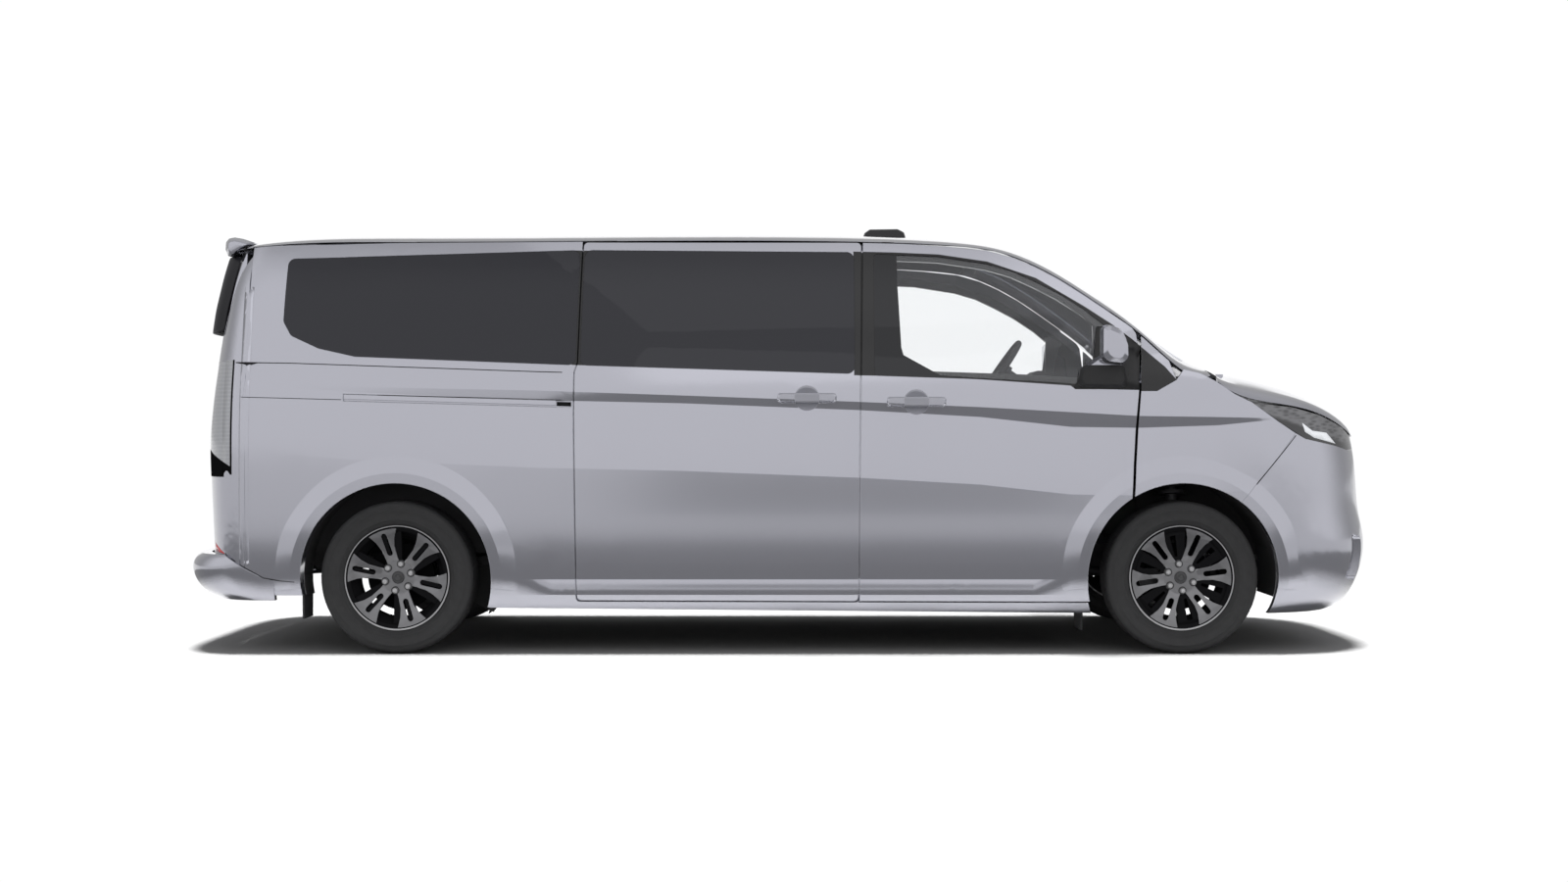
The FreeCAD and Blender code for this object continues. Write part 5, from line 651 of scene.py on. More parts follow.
MATS = {
    "paint": body_paint(),
    "plain": plain_paint(),
    "structure": structure_paint(),
    "pillar": pillar_material(),
    "trim": trim("black_trim", TRIM_RGB, 0.42),
    "gloss": trim("gloss_black", (0.006, 0.006, 0.007), 0.16, 900.0, 0.0),
    # Near-black for shut lines, and painted shade for the rail's shadow and the tyres' shoulder grooves.
    "line": trim("shut_line_and_painted_shade", (0.006, 0.006, 0.007), 0.8),
    "seal": trim("rubber_seal", (0.010, 0.010, 0.011), 0.75),
    "clear": glazing("clear_glass", (0.985, 0.99, 0.99), (0.02, 0.02, 0.02), 0.004),
    "door_glass": glazing("door_glass", (0.985, 0.99, 0.99), (0.012, 0.012, 0.013), 0.004, True),
    "privacy": glazing("privacy_glass", (0.15, 0.15, 0.18), (0.024, 0.024, 0.031), 0.78),
    "alloy": alloy_material(),
    "barrel": rim_material(),
    "nut": metal("wheel_nut", (0.60, 0.60, 0.61), 0.34, 30.0),
    "cap": trim("wheel_cap", (0.020, 0.020, 0.022), 0.25, 900.0, 0.4),
    "rear_glass": rear_glass(),
    "steel": metal("cast_steel", (0.10, 0.10, 0.105), 0.55),
    "engine": metal("engine_metal", (0.16, 0.16, 0.165), 0.5),
    "rubber": rubber(),
    "cloth": cloth(),
    "plastic": trim("cabin_plastic", (0.028, 0.028, 0.030), 0.6, 700.0),
    "floor": carpet(),
    "mirror": mirror_material(),
    "tail": lamp_material(),
    "head": headlamp_material(),
    "drl": glowing("daylight_strip", (0.80, 0.82, 0.85), 0.35),
    "red": trim("red_reflector", (0.55, 0.012, 0.010), 0.18, 900.0, 1.0),
    "silver": metal("mirror_silver", (0.75, 0.76, 0.78), 0.08, 4.0),
}

NODE_MATS = {
    "door_mirror_right": "mirror", "door_mirror_left": "mirror", "door_glass_right": "door_glass",
    "door_glass_left": "door_glass",
    "windscreen": "clear", "side_glass": "privacy", "tailgate_glass": "rear_glass", "grille": "trim",
    "headlamps": "head",
    "tail_lamps": "tail", "roof_pod": "gloss", "pillar_panels": "pillar", "front_structure": "structure",
    "wheel_liners": "floor", "floor_pan": "floor",
    "exhaust": "steel", "front_subframe": "steel", "rear_axle": "steel", "knuckle_left": "steel",
    "knuckle_right": "steel",
    "engine_block": "engine", "dashboard": "plastic", "steering_wheel": "plastic",
}


def dress_nodes():
    """Give every carried-over solid its material."""
    for name, node in NODES.items():
        key = NODE_MATS.get(name, "barrel" if name.startswith("rim_") else "paint")
        if node.material_slots:
            for slot in node.material_slots:
                slot.material = MATS[key]
        else:
            node.data.materials.append(MATS[key])


# Mesh helpers


def piece(name, verts, faces, mat, body, smooth=True):
    mesh = bpy.data.meshes.new(name)
    mesh.from_pydata([tuple(v) for v in verts], [], faces)
    mesh.validate()
    mesh.materials.append(MATS[mat])
    if smooth:
        mesh.shade_smooth()
    made = bpy.data.objects.new(name, mesh)
    bpy.context.scene.collection.objects.link(made)
    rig.ride(made, body)
    return made


def soften(made, width, segments=2):
    bevel = made.modifiers.new("edges", "BEVEL")
    bevel.width = width
    bevel.segments = segments
    bevel.limit_method = "ANGLE"
    return made


def lathe(name, profile, centre, mat, body, steps=96, hand=1):
    """A profile of radius and offset pairs turned round a line along Y."""
    verts = []
    for i in range(steps):
        angle = 2 * math.pi * i / steps
        for r, w in profile:
            verts.append((centre[0] + r * math.cos(angle), centre[1] + hand * w,
                          centre[2] + r * math.sin(angle)))
    count = len(profile)
    faces = []
    for i in range(steps):
        j = (i + 1) % steps
        for k in range(count):
            m = (k + 1) % count
            face = [i * count + k, j * count + k, j * count + m, i * count + m]
            faces.append(face if hand > 0 else face[::-1])
    return piece(name, verts, faces, mat, body)


def tube(name, points, radius, mat, body, resolution=8):
    curve = bpy.data.curves.new(name, "CURVE")
    curve.dimensions = "3D"
    curve.bevel_depth = radius
    curve.bevel_resolution = 3
    curve.resolution_u = resolution
    spline = curve.splines.new("NURBS")
    spline.points.add(len(points) - 1)
    for point, place in zip(spline.points, points):
        point.co = (*place, 1.0)
    spline.order_u = min(4, len(points))
    spline.use_endpoint_u = True
    curve.materials.append(MATS[mat])
    made = bpy.data.objects.new(name, curve)
    bpy.context.scene.collection.objects.link(made)
    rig.ride(made, body)
    return made


def surface(*names):
    """The shape of some solids, for finding the skin under a point."""
    verts = []
    faces = []
    for name in names:
        node = NODES[name]
        base = len(verts)
        verts += [node.matrix_world @ v.co for v in node.data.vertices]
        faces += [[base + i for i in p.vertices] for p in node.data.polygons]
    return BVHTree.FromPolygons(verts, faces)


def right_skin(tree, x, z, fallback):
    """The right skin's y at a point, or the guide's where the skin has a gap or a step."""
    guide = fallback(x, z) if callable(fallback) else fallback
    reach = 0.02 if callable(fallback) else 0.25
    hit = tree.ray_cast(Vector((x, -2.0, z)), Vector((0.0, 1.0, 0.0)))[0]
    return hit.y if hit is not None and abs(hit.y - guide) < reach else guide


def skin_guide(tree, places):
    """The skin's y, read where it is sound and carried along at the same height."""
    def value(x, z):
        near = sorted(places, key=lambda p: abs(p - x))[:2]
        found = []
        for place in near:
            hit = tree.ray_cast(Vector((place, -2.0, z)), Vector((0.0, 1.0, 0.0)))[0]
            if hit is not None:
                found.append((abs(place - x), hit.y))
        if not found:
            return -0.95
        if len(found) < 2:
            return found[0][1]
        (first_gap, first_y), (second_gap, second_y) = found
        return (first_gap * second_y + second_gap * first_y) / (first_gap + second_gap)
    return value


CORNER_GUIDE = skin_guide(surface("side_wall_right"), (-2.416, -2.368))


def inside(outline, x, z):
    found = False
    for (ax, az), (bx, bz) in zip(outline, outline[1:] + outline[:1]):
        if (az > z) != (bz > z) and x < (bx - ax) * (z - az) / (bz - az) + ax:
            found = not found
    return found


def refine(outline, step):
    fine = []
    for (ax, az), (bx, bz) in zip(outline, outline[1:] + outline[:1]):
        count = max(1, int(math.hypot(bx - ax, bz - az) / step))
        fine += [(ax + (bx - ax) * i / count, az + (bz - az) * i / count) for i in range(count)]
    return fine


def patch(name, outline, tree, mat, bodies, fallback=-1.0, proud=SKIN, depth=0.004, step=GRID,
          bevel=0.0, guide=None):
    """A thin panel that lies on the right side's skin, and its mirror image."""
    outline = list(outline)
    edge = refine(outline, step)
    xs = [x for x, z in outline]
    zs = [z for x, z in outline]
    points = list(edge)
    nx = int((max(xs) - min(xs)) / step)
    nz = int((max(zs) - min(zs)) / step)
    for i in range(1, nx + 1):
        for k in range(1, nz + 1):
            x = min(xs) + step * i
            z = min(zs) + step * k
            near = min(math.hypot(x - ex, z - ez) for ex, ez in edge)
            if near > step * 0.4 and inside(outline, x, z):
                points.append((x, z))
    ring = [(i, (i + 1) % len(edge)) for i in range(len(edge))]
    flat = delaunay_2d_cdt([Vector(p) for p in points], ring, [], 1, 1e-6)
    places = [(v.x, right_skin(tree, v.x, v.y, guide or fallback) - proud, v.y) for v in flat[0]]
    faces = [list(f) for f in flat[2]]
    for hand, body in zip((-1, 1), bodies):
        verts = [(x, y if hand < 0 else -y, z) for x, y, z in places]
        made = piece(name + ("_right" if hand < 0 else "_left"), verts,
                     faces if hand < 0 else [f[::-1] for f in faces], mat, body)
        solid = made.modifiers.new("thickness", "SOLIDIFY")
        solid.thickness = depth
        solid.offset = -1.0
        normals = [p.normal.y * hand for p in made.data.polygons]
        if sum(normals) < 0:
            made.data.flip_normals()
        if bevel:
            soften(made, bevel)
    return places


def stripe(name, line, tree, mat, bodies, width=LINE_WIDTH, proud=0.0006, fallback=-1.0, step=0.05):
    """A narrow band along a line of x, z points on the right skin, and its mirror image."""
    fine = []
    for (ax, az), (bx, bz) in zip(line, line[1:]):
        count = max(1, int(math.hypot(bx - ax, bz - az) / step))
        fine += [(ax + (bx - ax) * i / count, az + (bz - az) * i / count) for i in range(count)]
    fine.append(line[-1])
    verts = []
    for i, (x, z) in enumerate(fine):
        ax, az = fine[max(i - 1, 0)]
        bx, bz = fine[min(i + 1, len(fine) - 1)]
        size = math.hypot(bx - ax, bz - az)
        nx, nz = -(bz - az) / size * width / 2, (bx - ax) / size * width / 2
        for px, pz in ((x + nx, z + nz), (x - nx, z - nz)):
            verts.append((px, right_skin(tree, px, pz, fallback) - proud, pz))
    faces = [[2 * i, 2 * i + 1, 2 * i + 3, 2 * i + 2] for i in range(len(fine) - 1)]
    for hand, body in zip((-1, 1), bodies):
        made = piece(name + ("_right" if hand < 0 else "_left"),
                     [(x, y if hand < 0 else -y, z) for x, y, z in verts],
                     faces, mat, body)
        solid = made.modifiers.new("thickness", "SOLIDIFY")
        solid.thickness = 0.002
        solid.offset = 0.0


def both(prefix):
    return (prefix + "_right", prefix + "_left")


BODY = ("body", "body")


# Body side details


def pillar_trim():
    tree = surface("front_door_right", "sliding_door_right", "side_wall_right", "door_glass_right",
                   "side_glass")
    door = both("front_door")
    patch("sail_cover", [(1.293, 1.190), (1.330, 1.240), (1.385, 1.300), (1.400, 1.460), (1.470, 1.465),
                         (1.511, 1.440), (1.563, 1.401),
                         (1.586, 1.370), (1.586, 1.180), (1.300, 1.180)], tree, "trim", door)
    tail = surface("side_wall_right")
    patch("rear_corner_skin", [(-2.414, 1.640), (-2.370, 1.640), (-2.370, 0.400), (-2.414, 0.400)], tail,
          "plain", BODY,
          proud=0.0006, step=0.022, guide=CORNER_GUIDE)


def seams():
    walls = surface("side_wall_right", "front_wings", "front_bumper", "rear_bumper", "roof_panel", "bonnet",
                    "headlamps", "tailgate")
    stripe("quarter_upper_seam", [(-2.490, 1.300), (-2.190, 1.296), (-1.090, 1.258), (-0.930, 1.254)], walls,
           "line", BODY)
    stripe("quarter_lower_seam", [(-2.500, 1.147), (-2.000, 1.134), (-1.962, 1.133)], walls, "line", BODY,
           0.0026)
    stripe("rail_shadow", [(-1.950, 1.1555), (-1.30, 1.1385), (-0.93, 1.1285)], walls, "line", BODY, 0.005)
    stripe("wing_bumper_seam", [(2.284, 0.974), (2.195, 0.867), (2.104, 0.757)], walls, "line", BODY)
    stripe("rear_bumper_seam",
           [(-2.485, 0.448), (-2.400, 0.392), (-2.308, 0.340), (-2.240, 0.328), (-2.170, 0.322)], walls,
           "line", BODY)
    stripe("roof_seam", [(-2.40, 1.826), (-2.1, 1.836), (-1.6, 1.846), (-0.8, 1.850), (-0.1, 1.848),
                         (0.5, 1.843)], walls, "line", BODY, 0.003,
           fallback=-0.80)


def reflectors():
    tail = surface("rear_bumper", "side_wall_right")
    patch("red_reflector", [(-2.566, 0.500), (-2.572, 0.454), (-2.488, 0.446)], tail, "red", BODY,
          fallback=-0.98, proud=0.002, step=0.02)


def rail_end():
    tree = surface("side_wall_right", "slide_rail_covers")
    patch("rail_end_cover", [(-1.006, 1.124), (-0.942, 1.122), (-0.942, 1.103), (-1.006, 1.105)], tree,
          "line", BODY, proud=0.001, step=0.02)


def lamp_details():
    tree = surface("headlamps", "front_bumper", "bonnet")
    patch("daylight_strip",
          [(2.317, 1.030), (2.366, 0.995), (2.441, 0.986), (2.490, 0.937), (2.375, 0.964), (2.330, 0.990)],
          tree, "drl", BODY, fallback=-0.80, proud=0.002, step=0.02)
    corner = surface("side_wall_right", "tail_lamps")
    patch("tail_lamp_side", TAIL_LAMP_SIDE, corner, "tail", BODY, proud=0.0016, step=0.03)


# Wheels


def tread_tyre(name, x, hand, body):
    """A road tyre: bulged sides with moulded rings, and a grooved tread."""
    grooves = []
    half = 0.088
    for centre in (-0.052, -0.018, 0.018, 0.052):
        grooves.append((centre - 0.0045, centre + 0.0045))
    tread = []
    depth = 0.0075
    last = -half
    for low, high in grooves:
        tread += [(TYRE_RADIUS - 0.0006 * abs(last) / half, last), (TYRE_RADIUS, low),
                  (TYRE_RADIUS - depth, low + 0.0008),
                  (TYRE_RADIUS - depth, high - 0.0008)]
        last = high
    tread += [(TYRE_RADIUS, last), (TYRE_RADIUS - 0.0006, half)]
    side = [(TYRE_RADIUS - 0.004, half + 0.009), (TYRE_RADIUS - 0.012, half + 0.0175),
            (0.318, TYRE_HALF_WIDTH - 0.004),
            (0.306, TYRE_HALF_WIDTH - 0.0012), (0.3045, TYRE_HALF_WIDTH + 0.0002),
            (0.300, TYRE_HALF_WIDTH + 0.0002),
            (0.2985, TYRE_HALF_WIDTH - 0.0012), (0.280, TYRE_HALF_WIDTH - 0.002),
            (0.262, TYRE_HALF_WIDTH - 0.006),
            (0.2605, TYRE_HALF_WIDTH - 0.0045), (0.256, TYRE_HALF_WIDTH - 0.0055),
            (0.2545, TYRE_HALF_WIDTH - 0.0085),
            (0.246, TYRE_HALF_WIDTH - 0.014), (0.238, TYRE_HALF_WIDTH - 0.020), (RIM_RADIUS + 0.0005, 0.0895)]
    ring = side + [(0.2180, 0.0885), (0.2180, 0.075), (0.300, 0.092), (0.320, 0.070), (0.320, -0.070),
                   (0.300, -0.092), (0.2180, -0.075),
                   (0.2180, -0.0885)]
    profile = ring + [(r, -w) for r, w in side[::-1]] + tread
    made = lathe(name, profile, (x, hand * WHEEL_Y, TYRE_RADIUS), "rubber", body, 144, hand)
    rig.replaces(made, name.replace("tread_", ""))
    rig.slot(made, "tyre")
    # The shoulder's cross grooves are near-black blocks at the tread's edge: painted shade for the grooves, not
    # recesses.
    verts = []
    faces = []
    count = 72
    for i in range(count):
        for side_hand in (-1, 1):
            angle = 2 * math.pi * (i + 0.25 * side_hand) / count
            base = len(verts)
            for r in (TYRE_RADIUS - 0.004, TYRE_RADIUS + 0.0002):
                for da, w in ((-0.0045, 0.061), (0.0045, 0.061), (0.0075, 0.0885), (-0.0015, 0.0885)):
                    verts.append((x + r * math.cos(angle + da), hand * WHEEL_Y + side_hand * w,
                                  TYRE_RADIUS + r * math.sin(angle + da)))
            faces += [[base + 4, base + 5, base + 6, base + 7], [base, base + 1, base + 5, base + 4],
                      [base + 2, base + 3, base + 7, base + 6]]
    painted_sipe_shade = piece(name + "_sipes", verts, faces, "line", body, False)
    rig.slot(painted_sipe_shade, "tyre")
    return made


def face_depth(radius):
    """How far out of the wheel's middle plane its face lies."""
    share = min(max((radius - HUB_FACE_RADIUS) / (FACE_RADIUS - HUB_FACE_RADIUS), 0.0), 1.0)
    return HUB_FACE_DEPTH + (FACE_EDGE_DEPTH - HUB_FACE_DEPTH) * math.sin(share * math.pi / 2)


def face_outline():
    """The wheel face's outer line: six flaring spokes round a hub."""
    outline = []
    reach = math.asin(SPOKE_SIDE[-1][1] / FACE_RADIUS)
    for i in range(SPOKE_COUNT):
        turn = 2 * math.pi * i / SPOKE_COUNT
        local = [(u, -v) for u, v in SPOKE_SIDE]
        local += [(FACE_RADIUS * math.cos(a), FACE_RADIUS * math.sin(a)) for a in (-reach, -reach / 2, 0.0,
                                                                                   reach / 2, reach)]
        local += [(u, v) for u, v in SPOKE_SIDE[::-1]]
        outline += [(u * math.cos(turn) - v * math.sin(turn), u * math.sin(turn) + v * math.cos(turn)) for u,
                    v in local]
    return outline


def face_slots():
    """The long hole with round ends down the middle of each spoke."""
    slots = []
    for i in range(SPOKE_COUNT):
        turn = 2 * math.pi * i / SPOKE_COUNT
        local = []
        for centre, start in ((SLOT_OUTER, -90.0), (SLOT_INNER, 90.0)):
            for k in range(7):
                a = math.radians(start + 30.0 * k)
                local.append((centre + SLOT_HALF * math.cos(a), SLOT_HALF * math.sin(a)))
        slots.append([(u * math.cos(turn) - v * math.sin(turn),
                       u * math.sin(turn) + v * math.cos(turn)) for u, v in local])
    return slots


def alloy_face(name, x, hand, body, first):
    """The machined face of one wheel, with its split spokes, nuts and bare centre cap."""
    outline = face_outline()
    slots = face_slots()
    rings = [outline] + slots
    points = []
    edges = []
    for ring in rings:
        base = len(points)
        points += [Vector(p) for p in ring]
        edges += [(base + i, base + (i + 1) % len(ring)) for i in range(len(ring))]
    for k in range(24):
        a = 2 * math.pi * k / 24
        points += [Vector((r * math.cos(a), r * math.sin(a))) for r in (HUB_FACE_RADIUS * 0.5,
                                                                        HUB_FACE_RADIUS)]
    flat = delaunay_2d_cdt(points, edges, [], 1, 1e-6)
    verts = []
    for v in flat[0]:
        a = math.radians(first)
        u, w = v.x * math.cos(a) - v.y * math.sin(a), v.x * math.sin(a) + v.y * math.cos(a)
        verts.append((x + u, hand * (WHEEL_Y + face_depth(v.length)), TYRE_RADIUS + w))
    faces = []
    for face in flat[2]:
        middle = sum((flat[0][i] for i in face), Vector((0.0, 0.0))) / len(face)
        if not any(inside(slot, middle.x, middle.y) for slot in slots):
            faces.append(list(face) if hand < 0 else list(face)[::-1])
    made = piece(name, verts, faces, "alloy", body, False)
    if sum(p.normal.y for p in made.data.polygons) * hand < 0:
        made.data.flip_normals()
    solid = made.modifiers.new("thickness", "SOLIDIFY")
    solid.thickness = SPOKE_THICKNESS
    solid.offset = -1.0
    soften(made, 0.0016, 2)
    for k in range(SPOKE_COUNT):
        a = math.radians(first + 30.0 + k * 360.0 / SPOKE_COUNT)
        centre = (x + NUT_CIRCLE * math.cos(a), hand * (WHEEL_Y + HUB_FACE_DEPTH),
                  TYRE_RADIUS + NUT_CIRCLE * math.sin(a))
        lathe("%s_nut_seat_%d" % (name, k), NUT_SEAT, centre, "cap", body, 20, hand)
        lathe("%s_nut_%d" % (name, k), NUT, centre, "nut", body, 16, hand)
    lathe(name + "_cap", CENTRE_CAP, (x, hand * (WHEEL_Y + HUB_FACE_DEPTH), TYRE_RADIUS), "cap", body, 48,
          hand)


def wheels():
    for end, x, first in (("front", FRONT_AXLE_X, FRONT_SPOKE_DEG), ("rear", REAR_AXLE_X, REAR_SPOKE_DEG)):
        for side, hand in (("left", 1), ("right", -1)):
            body = "wheel_" + end + "_" + side
            tread_tyre("tread_tyre_" + end + "_" + side, x, hand, body)
            alloy_face("alloy_face_" + end + "_" + side, x, hand, body, first)


def arc_band(name, centre_x, radius, start, end, inner, outer, thick, body="body"):
    """A curved sheet round a wheel, between two angles from straight ahead."""
    verts = []
    steps = 14
    for i in range(steps + 1):
        a = math.radians(start + (end - start) * i / steps)
        for r in (radius, radius + thick):
            for y in (inner, outer):
                verts.append((centre_x + r * math.cos(a), y, TYRE_RADIUS + r * math.sin(a)))
    faces = [[0, 1, 3, 2], [4 * steps + 2, 4 * steps + 3, 4 * steps + 1, 4 * steps]]
    for i in range(steps):
        b = 4 * i
        faces += [[b, b + 4, b + 5, b + 1], [b + 2, b + 3, b + 7, b + 6], [b, b + 2, b + 6, b + 4],
                  [b + 1, b + 5, b + 7, b + 3]]
    return piece(name, verts, faces, "seal", body, False)


def arch_skirts():
    """The liners' lower ends, which hide the underbody ahead of and behind the wheels."""
    for hand, side in ((-1, "right"), (1, "left")):
        inner, outer = sorted((hand * REAR_SHEET_INNER, hand * ARCH_SHEET_OUTER))
        arc_band("rear_arch_skirt_" + side, REAR_AXLE_X, ARCH_SHEET, -22.0, 4.0, inner, outer,
                 ARCH_SHEET_THICKNESS)
        inner, outer = sorted(hand * y for y in REAR_SCREEN_Y)
        arc_band("rear_arch_screen_" + side, REAR_AXLE_X, REAR_SCREEN_RADIUS, -24.0, 6.0, inner, outer,
                 ARCH_SHEET - REAR_SCREEN_RADIUS)
        inner, outer = sorted((hand * FRONT_SHEET_INNER, hand * ARCH_SHEET_OUTER))
        arc_band("front_arch_skirt_" + side, FRONT_AXLE_X, ARCH_SHEET, 176.0, 200.0, inner, outer,
                 ARCH_SHEET_THICKNESS)


# Rear end


def between_places(pairs, value):
    """Read a line of pairs at a value between two of them."""
    for (low, first), (high, second) in zip(pairs, pairs[1:]):
        if value <= high:
            return first + (second - first) * (value - low) / (high - low)
    return pairs[-1][1]


def gate_glass_wrap():
    """The tailgate's glass, bonded over its frame and turned round the corners."""
    verts = []
    columns = 41
    rows = 14
    for i in range(rows + 1):
        z = WRAP_LOW + (WRAP_HIGH - WRAP_LOW) * i / rows
        front = WRAP_EDGE_X + (z - WRAP_LOW) * WRAP_RAKE
        half = between_places(WRAP_SIDE, z)
        for k in range(columns):
            share = -1.0 + 2.0 * k / (columns - 1)
            bend = abs(share) ** WRAP_POWER
            x = front - WRAP_DEPTH * (1.0 - bend) - WRAP_BOW * (1.0 - share * share)
            verts.append((x, half * share, z))
    faces = []
    for i in range(rows):
        for k in range(columns - 1):
            a = i * columns + k
            faces.append([a, a + 1, a + columns + 1, a + columns])
    made = piece("tailgate_glass_wrap", verts, faces, "rear_glass", "tailgate")
    if sum(p.normal.x for p in made.data.polygons) > 0:
        made.data.flip_normals()
    solid = made.modifiers.new("thickness", "SOLIDIFY")
    solid.thickness = 0.006
    solid.offset = -1.0
    edge = made.modifiers.new("smooth", "SUBSURF")
    edge.levels = 1
    edge.render_levels = 1


def gate_spoiler():
    """The painted lip over the rear glass, bowed and crowned like the roof's end."""
    verts = []
    centre_x, centre_z = SPOILER_MIDDLE
    for share in SPOILER_shares:
        past = max(0.0, abs(share) - SPOILER_TUCK_START) / (1.0 - SPOILER_TUCK_START)
        tuck = 1.0 - SPOILER_TUCK * past
        crown = 1.0 - share * share
        for x, z in SPOILER_SECTION:
            verts.append((centre_x + (x - centre_x) * tuck - SPOILER_BOW * crown, share * SPOILER_HALF,
                          centre_z + (z - centre_z) * tuck + SPOILER_CROWN * crown))
    count = len(SPOILER_SECTION)
    last = (len(SPOILER_shares) - 1) * count
    faces = [list(range(count))[::-1], [last + k for k in range(count)]]
    for i in range(len(SPOILER_shares) - 1):
        for k in range(count):
            m = (k + 1) % count
            faces.append([i * count + k, i * count + m, (i + 1) * count + m, (i + 1) * count + k])
    made = piece("tailgate_spoiler", verts, faces, "plain", "tailgate")
    soften(made, 0.006, 3)


# Cabin


def cushion(name, rows, mat="cloth"):
    """A padded form from rings of points, smoothed by subdivision."""
    verts = [p for row in rows for p in row]
    count = len(rows[0])
    faces = []
    for i in range(len(rows) - 1):
        for k in range(count):
            m = (k + 1) % count
            faces.append([i * count + k, i * count + m, (i + 1) * count + m, (i + 1) * count + k])
    faces.append(list(range(count))[::-1])
    faces.append([(len(rows) - 1) * count + k for k in range(count)])
    made = piece(name, verts, faces, mat, "body")
    smooth = made.modifiers.new("smooth", "SUBSURF")
    smooth.levels = 2
    smooth.render_levels = 2
    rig.padded(made, 0.8)
    return made


def rounded_ring(y, half_x, half_z, x, z, lean=0.0, power=0.72, steps=16):
    ring = []
    for i in range(steps):
        angle = 2 * math.pi * i / steps
        c, s = math.cos(angle), math.sin(angle)
        px = math.copysign(abs(c) ** power, c) * half_x
        pz = math.copysign(abs(s) ** power, s) * half_z
        ring.append((x + px - lean * (pz + half_z), y, z + pz))
    return ring


def seat(name, x, y, width):
    """One seat: a cushion with bolsters, a leaning back and its headrests, on a plinth."""
    half = width / 2
    spans = [-1.0, -0.93, -0.80, -0.62, -0.25, 0.25, 0.62, 0.80, 0.93, 1.0]
    base_rows = []
    back_rows = []
    for s in spans:
        edge = abs(s)
        bolster = 0.022 if 0.7 < edge < 0.96 else 0.0
        shrink = 0.80 if edge > 0.97 else 1.0
        base_rows.append(rounded_ring(y + s * half * 0.985, 0.235 * shrink, (0.060 + bolster) * shrink,
                                      x + 0.255, 0.836 + bolster))
        back_rows.append(rounded_ring(y + s * half * 0.955, (0.048 + bolster) * shrink, 0.300 * shrink,
                                      x + 0.035, 1.215, 0.24))
    made = [cushion(name + "_cushion", base_rows), cushion(name + "_back", back_rows)]
    heads = max(1, int(width / 0.52))
    for k in range(heads):
        centre = y + (k - (heads - 1) / 2) * (width / heads)
        rows = [rounded_ring(centre + s * 0.125, 0.044 * t, 0.080 * t, x - 0.150, 1.612, 0.10)
                for s, t in ((-1.0, 0.7), (-0.86, 0.95), (-0.4, 1.0), (0.4, 1.0), (0.86, 0.95), (1.0, 0.7))]
        made.append(cushion(name + "_head_%d" % k, rows))
        for rod in (-0.05, 0.05):
            tube(name + "_post_%d_%d" % (k, rod > 0),
                 [(x - 0.108, centre + rod, 1.44), (x - 0.146, centre + rod, 1.56)], 0.006, "steel", "body")
    plinth = piece(name + "_plinth",
                   [(x + px, y + py * half * 0.86, pz) for px in (0.03, 0.44) for py in (-1,
                                                                                         1) for pz in (0.4705,
                                                                                                       0.770)],
                   [[0, 1, 3, 2], [4, 6, 7, 5], [0, 4, 5, 1], [2, 3, 7, 6], [0, 2, 6, 4], [1, 5, 7, 3]],
                   "plastic", "body", False)
    soften(plinth, 0.02, 3)
    return made + [plinth]


def seats():
    front = []
    for hand in (-1, 1):
        front += seat("front_seat_%s" % ("right" if hand < 0 else "left"), 0.560, hand * 0.430, 0.520)
    rear = []
    for row, x in enumerate((-0.420, -1.330)):
        for hand in (-1, 1):
            rear += seat("rear_seat_%d_%s" % (row, "right" if hand < 0 else "left"), x, hand * 0.440, 0.500)
    rear += seat("rear_bench", -2.190, 0.0, 1.300)
    for made in front:
        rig.replaces(made, "front_seats")
        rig.slot(made, "seat_fabric")
    for made in rear:
        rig.replaces(made, "rear_seats")
        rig.slot(made, "seat_fabric")


# Stage, light and camera


def floor():
    """A small white floor that fades out into the white backdrop."""
    mesh = bpy.data.meshes.new("studio_floor")
    wide, deep = FLOOR_HALF
    mesh.from_pydata([(-wide, -deep, 0.0), (wide, -deep, 0.0), (wide, deep, 0.0), (-wide, deep, 0.0)], [],
                     [(0, 1, 2, 3)])
    g = Graph("studio_white")
    x, y, z = g.place()
    path = g.node("LightPath").outputs
    seen = g.math("MAXIMUM", g.math("MAXIMUM", path["Is Camera Ray"], path["Is Glossy Ray"]),
                  path["Is Transmission Ray"])
    pale = g.node("BsdfDiffuse", Color=FLOOR_SEEN).outputs[0]
    dull = g.node("BsdfDiffuse", Color=FLOOR_BOUNCE).outputs[0]
    along = g.ramp(g.math("SUBTRACT", wide, g.math("ABSOLUTE", x)), 0.0, FLOOR_FADE)
    across = g.ramp(g.math("SUBTRACT", deep, g.math("ABSOLUTE", y)), 0.0, FLOOR_FADE)
    clear = g.node("BsdfTransparent").outputs[0]
    shade = mixed(g, g.math("MULTIPLY", along, across), clear, mixed(g, seen, dull, pale))
    mesh.materials.append(g.finish(shade))
    made = bpy.data.objects.new("studio_floor", mesh)
    bpy.context.scene.collection.objects.link(made)
    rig.stage(made)
    return made


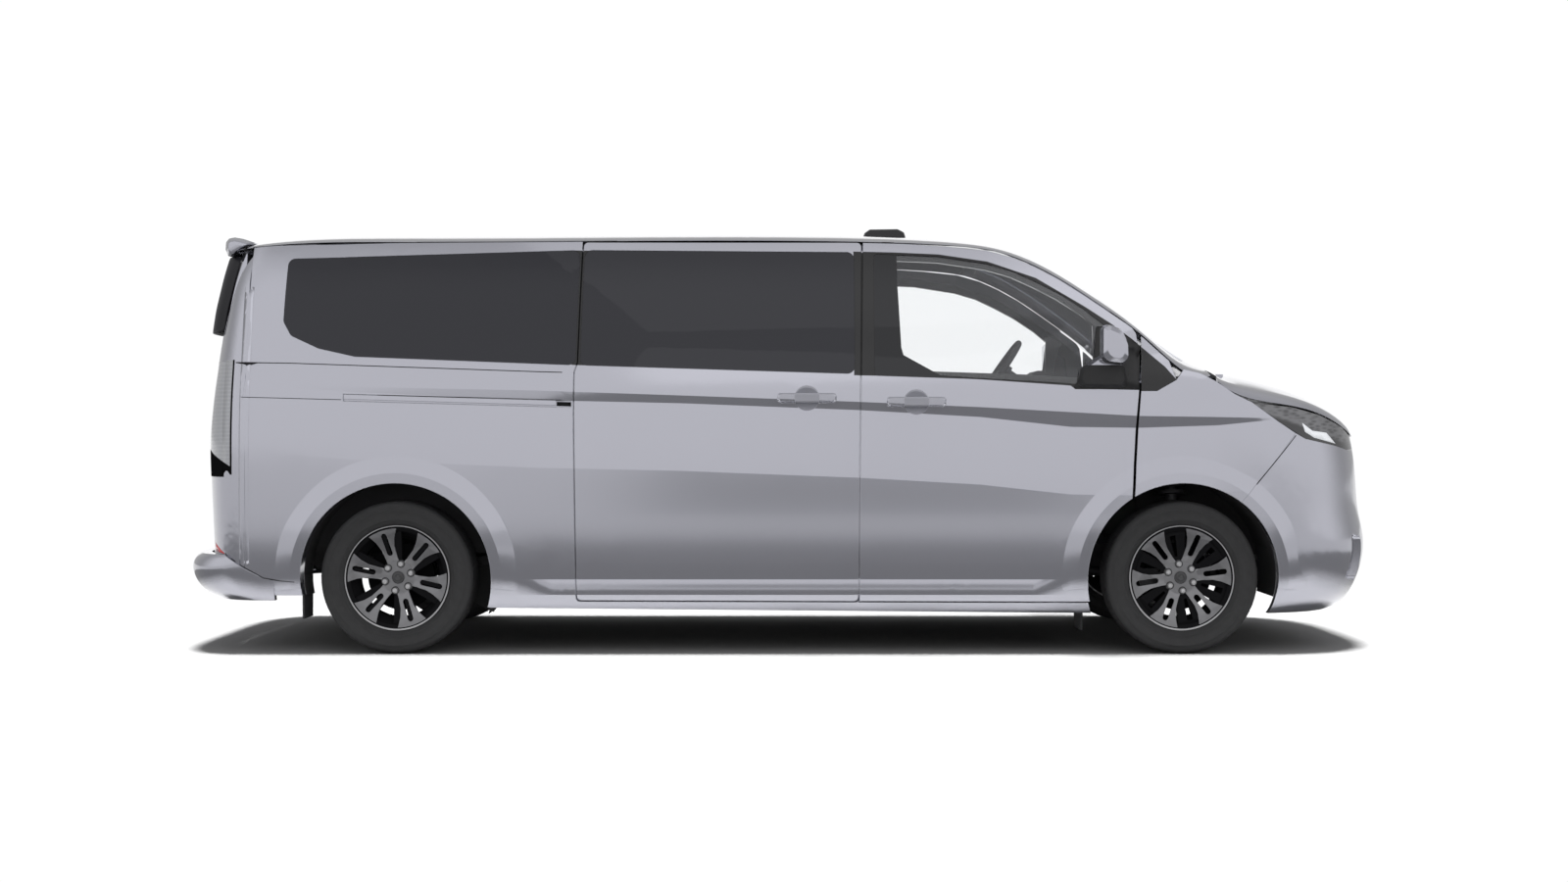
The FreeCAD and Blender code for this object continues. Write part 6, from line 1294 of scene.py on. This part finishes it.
def world():
    """A white backdrop, and on the other side a pale sky over darker ground for the paint to reflect."""
    made = bpy.data.worlds.new("studio")
    bpy.context.scene.world = made
    made.use_nodes = True
    tree = made.node_tree
    tree.nodes.clear()
    coords = tree.nodes.new("ShaderNodeTexCoord")
    split = tree.nodes.new("ShaderNodeSeparateXYZ")
    tree.links.new(coords.outputs["Generated"], split.inputs[0])

    def ramp(socket, low, high):
        node = tree.nodes.new("ShaderNodeMapRange")
        node.interpolation_type = "SMOOTHSTEP"
        node.inputs["From Min"].default_value = low
        node.inputs["From Max"].default_value = high
        tree.links.new(socket, node.inputs["Value"])
        return node.outputs[0]

    def blend(factor, a, b):
        node = tree.nodes.new("ShaderNodeMix")
        node.data_type = "RGBA"
        tree.links.new(factor, node.inputs[0])
        for socket, value in ((node.inputs[6], a), (node.inputs[7], b)):
            if isinstance(value, bpy.types.NodeSocket):
                tree.links.new(value, socket)
            else:
                socket.default_value = (value, value, value * 1.01, 1.0)
        return node.outputs[2]

    def joint(a, b):
        node = tree.nodes.new("ShaderNodeMath")
        node.operation = "MULTIPLY"
        tree.links.new(a, node.inputs[0])
        tree.links.new(b, node.inputs[1])
        return node.outputs[0]

    along, across, height = split.outputs
    middle = joint(ramp(along, -0.09, -0.04), ramp(along, 0.16, 0.12))
    sky = blend(ramp(across, -0.30, 0.50), SKY_SIDE, SKY_FAR)
    sky = blend(ramp(height, 0.45, 0.80), sky, SKY_HIGH)
    low = blend(ramp(height, -0.125, -0.105), GROUND, STRIP)
    low = blend(joint(middle, ramp(height, -0.080, -0.065)), low, HORIZON)
    tone = blend(ramp(height, -0.005, 0.020), low, sky)
    rear = joint(ramp(across, 0.88, 0.93), joint(ramp(height, -0.30, -0.22), ramp(height, 0.30, 0.22)))
    tone = blend(rear, tone, 1.0)
    path = tree.nodes.new("ShaderNodeLightPath").outputs
    seen = tree.nodes.new("ShaderNodeMath")
    seen.operation = "MAXIMUM"
    tree.links.new(path["Is Camera Ray"], seen.inputs[0])
    tree.links.new(path["Is Transmission Ray"], seen.inputs[1])
    tone = blend(seen.outputs[0], tone, 1.0)
    back = tree.nodes.new("ShaderNodeBackground")
    tree.links.new(tone, back.inputs["Color"])
    back.inputs["Strength"].default_value = 1.02
    out = tree.nodes.new("ShaderNodeOutputWorld")
    tree.links.new(back.outputs[0], out.inputs["Surface"])


def lights(ground):
    """One overhead light for the floor alone, so that it stays white but for the shadow."""
    data = bpy.data.lights.new("floor_light", "SUN")
    data.energy = FLOOR_SUN
    data.angle = math.radians(14.0)
    made = bpy.data.objects.new("floor_light", data)
    bpy.context.scene.collection.objects.link(made)
    only = bpy.data.collections.new("floor_only")
    only.objects.link(ground)
    made.light_linking.receiver_collection = only
    data = bpy.data.lights.new("key", "AREA")
    data.energy = KEY_POWER
    data.size = 7.0
    made = bpy.data.objects.new("key", data)
    made.location = (1.5, -5.0, 6.5)
    made.rotation_euler = (Vector((0.0, 0.0, 0.8)) - made.location).to_track_quat("-Z", "Y").to_euler()
    bpy.context.scene.collection.objects.link(made)


def camera():
    data = bpy.data.cameras.new("camera")
    data.lens = 50.0
    data.sensor_width = 36.0
    data.clip_end = 200.0
    made = bpy.data.objects.new("camera", data)
    made.location = (0.006, -10.675, 1.006)
    made.rotation_euler = (math.radians(90.0 - 0.335), 0.0, 0.0)
    bpy.context.scene.collection.objects.link(made)
    bpy.context.scene.camera = made


def main():
    scene = bpy.context.scene
    scene.view_settings.view_transform = "Standard"
    dress_nodes()
    pillar_trim()
    seams()
    reflectors()
    rail_end()
    lamp_details()
    wheels()
    arch_skirts()
    gate_glass_wrap()
    gate_spoiler()
    seats()
    ground = floor()
    world()
    lights(ground)
    camera()


main()
write_size("end")
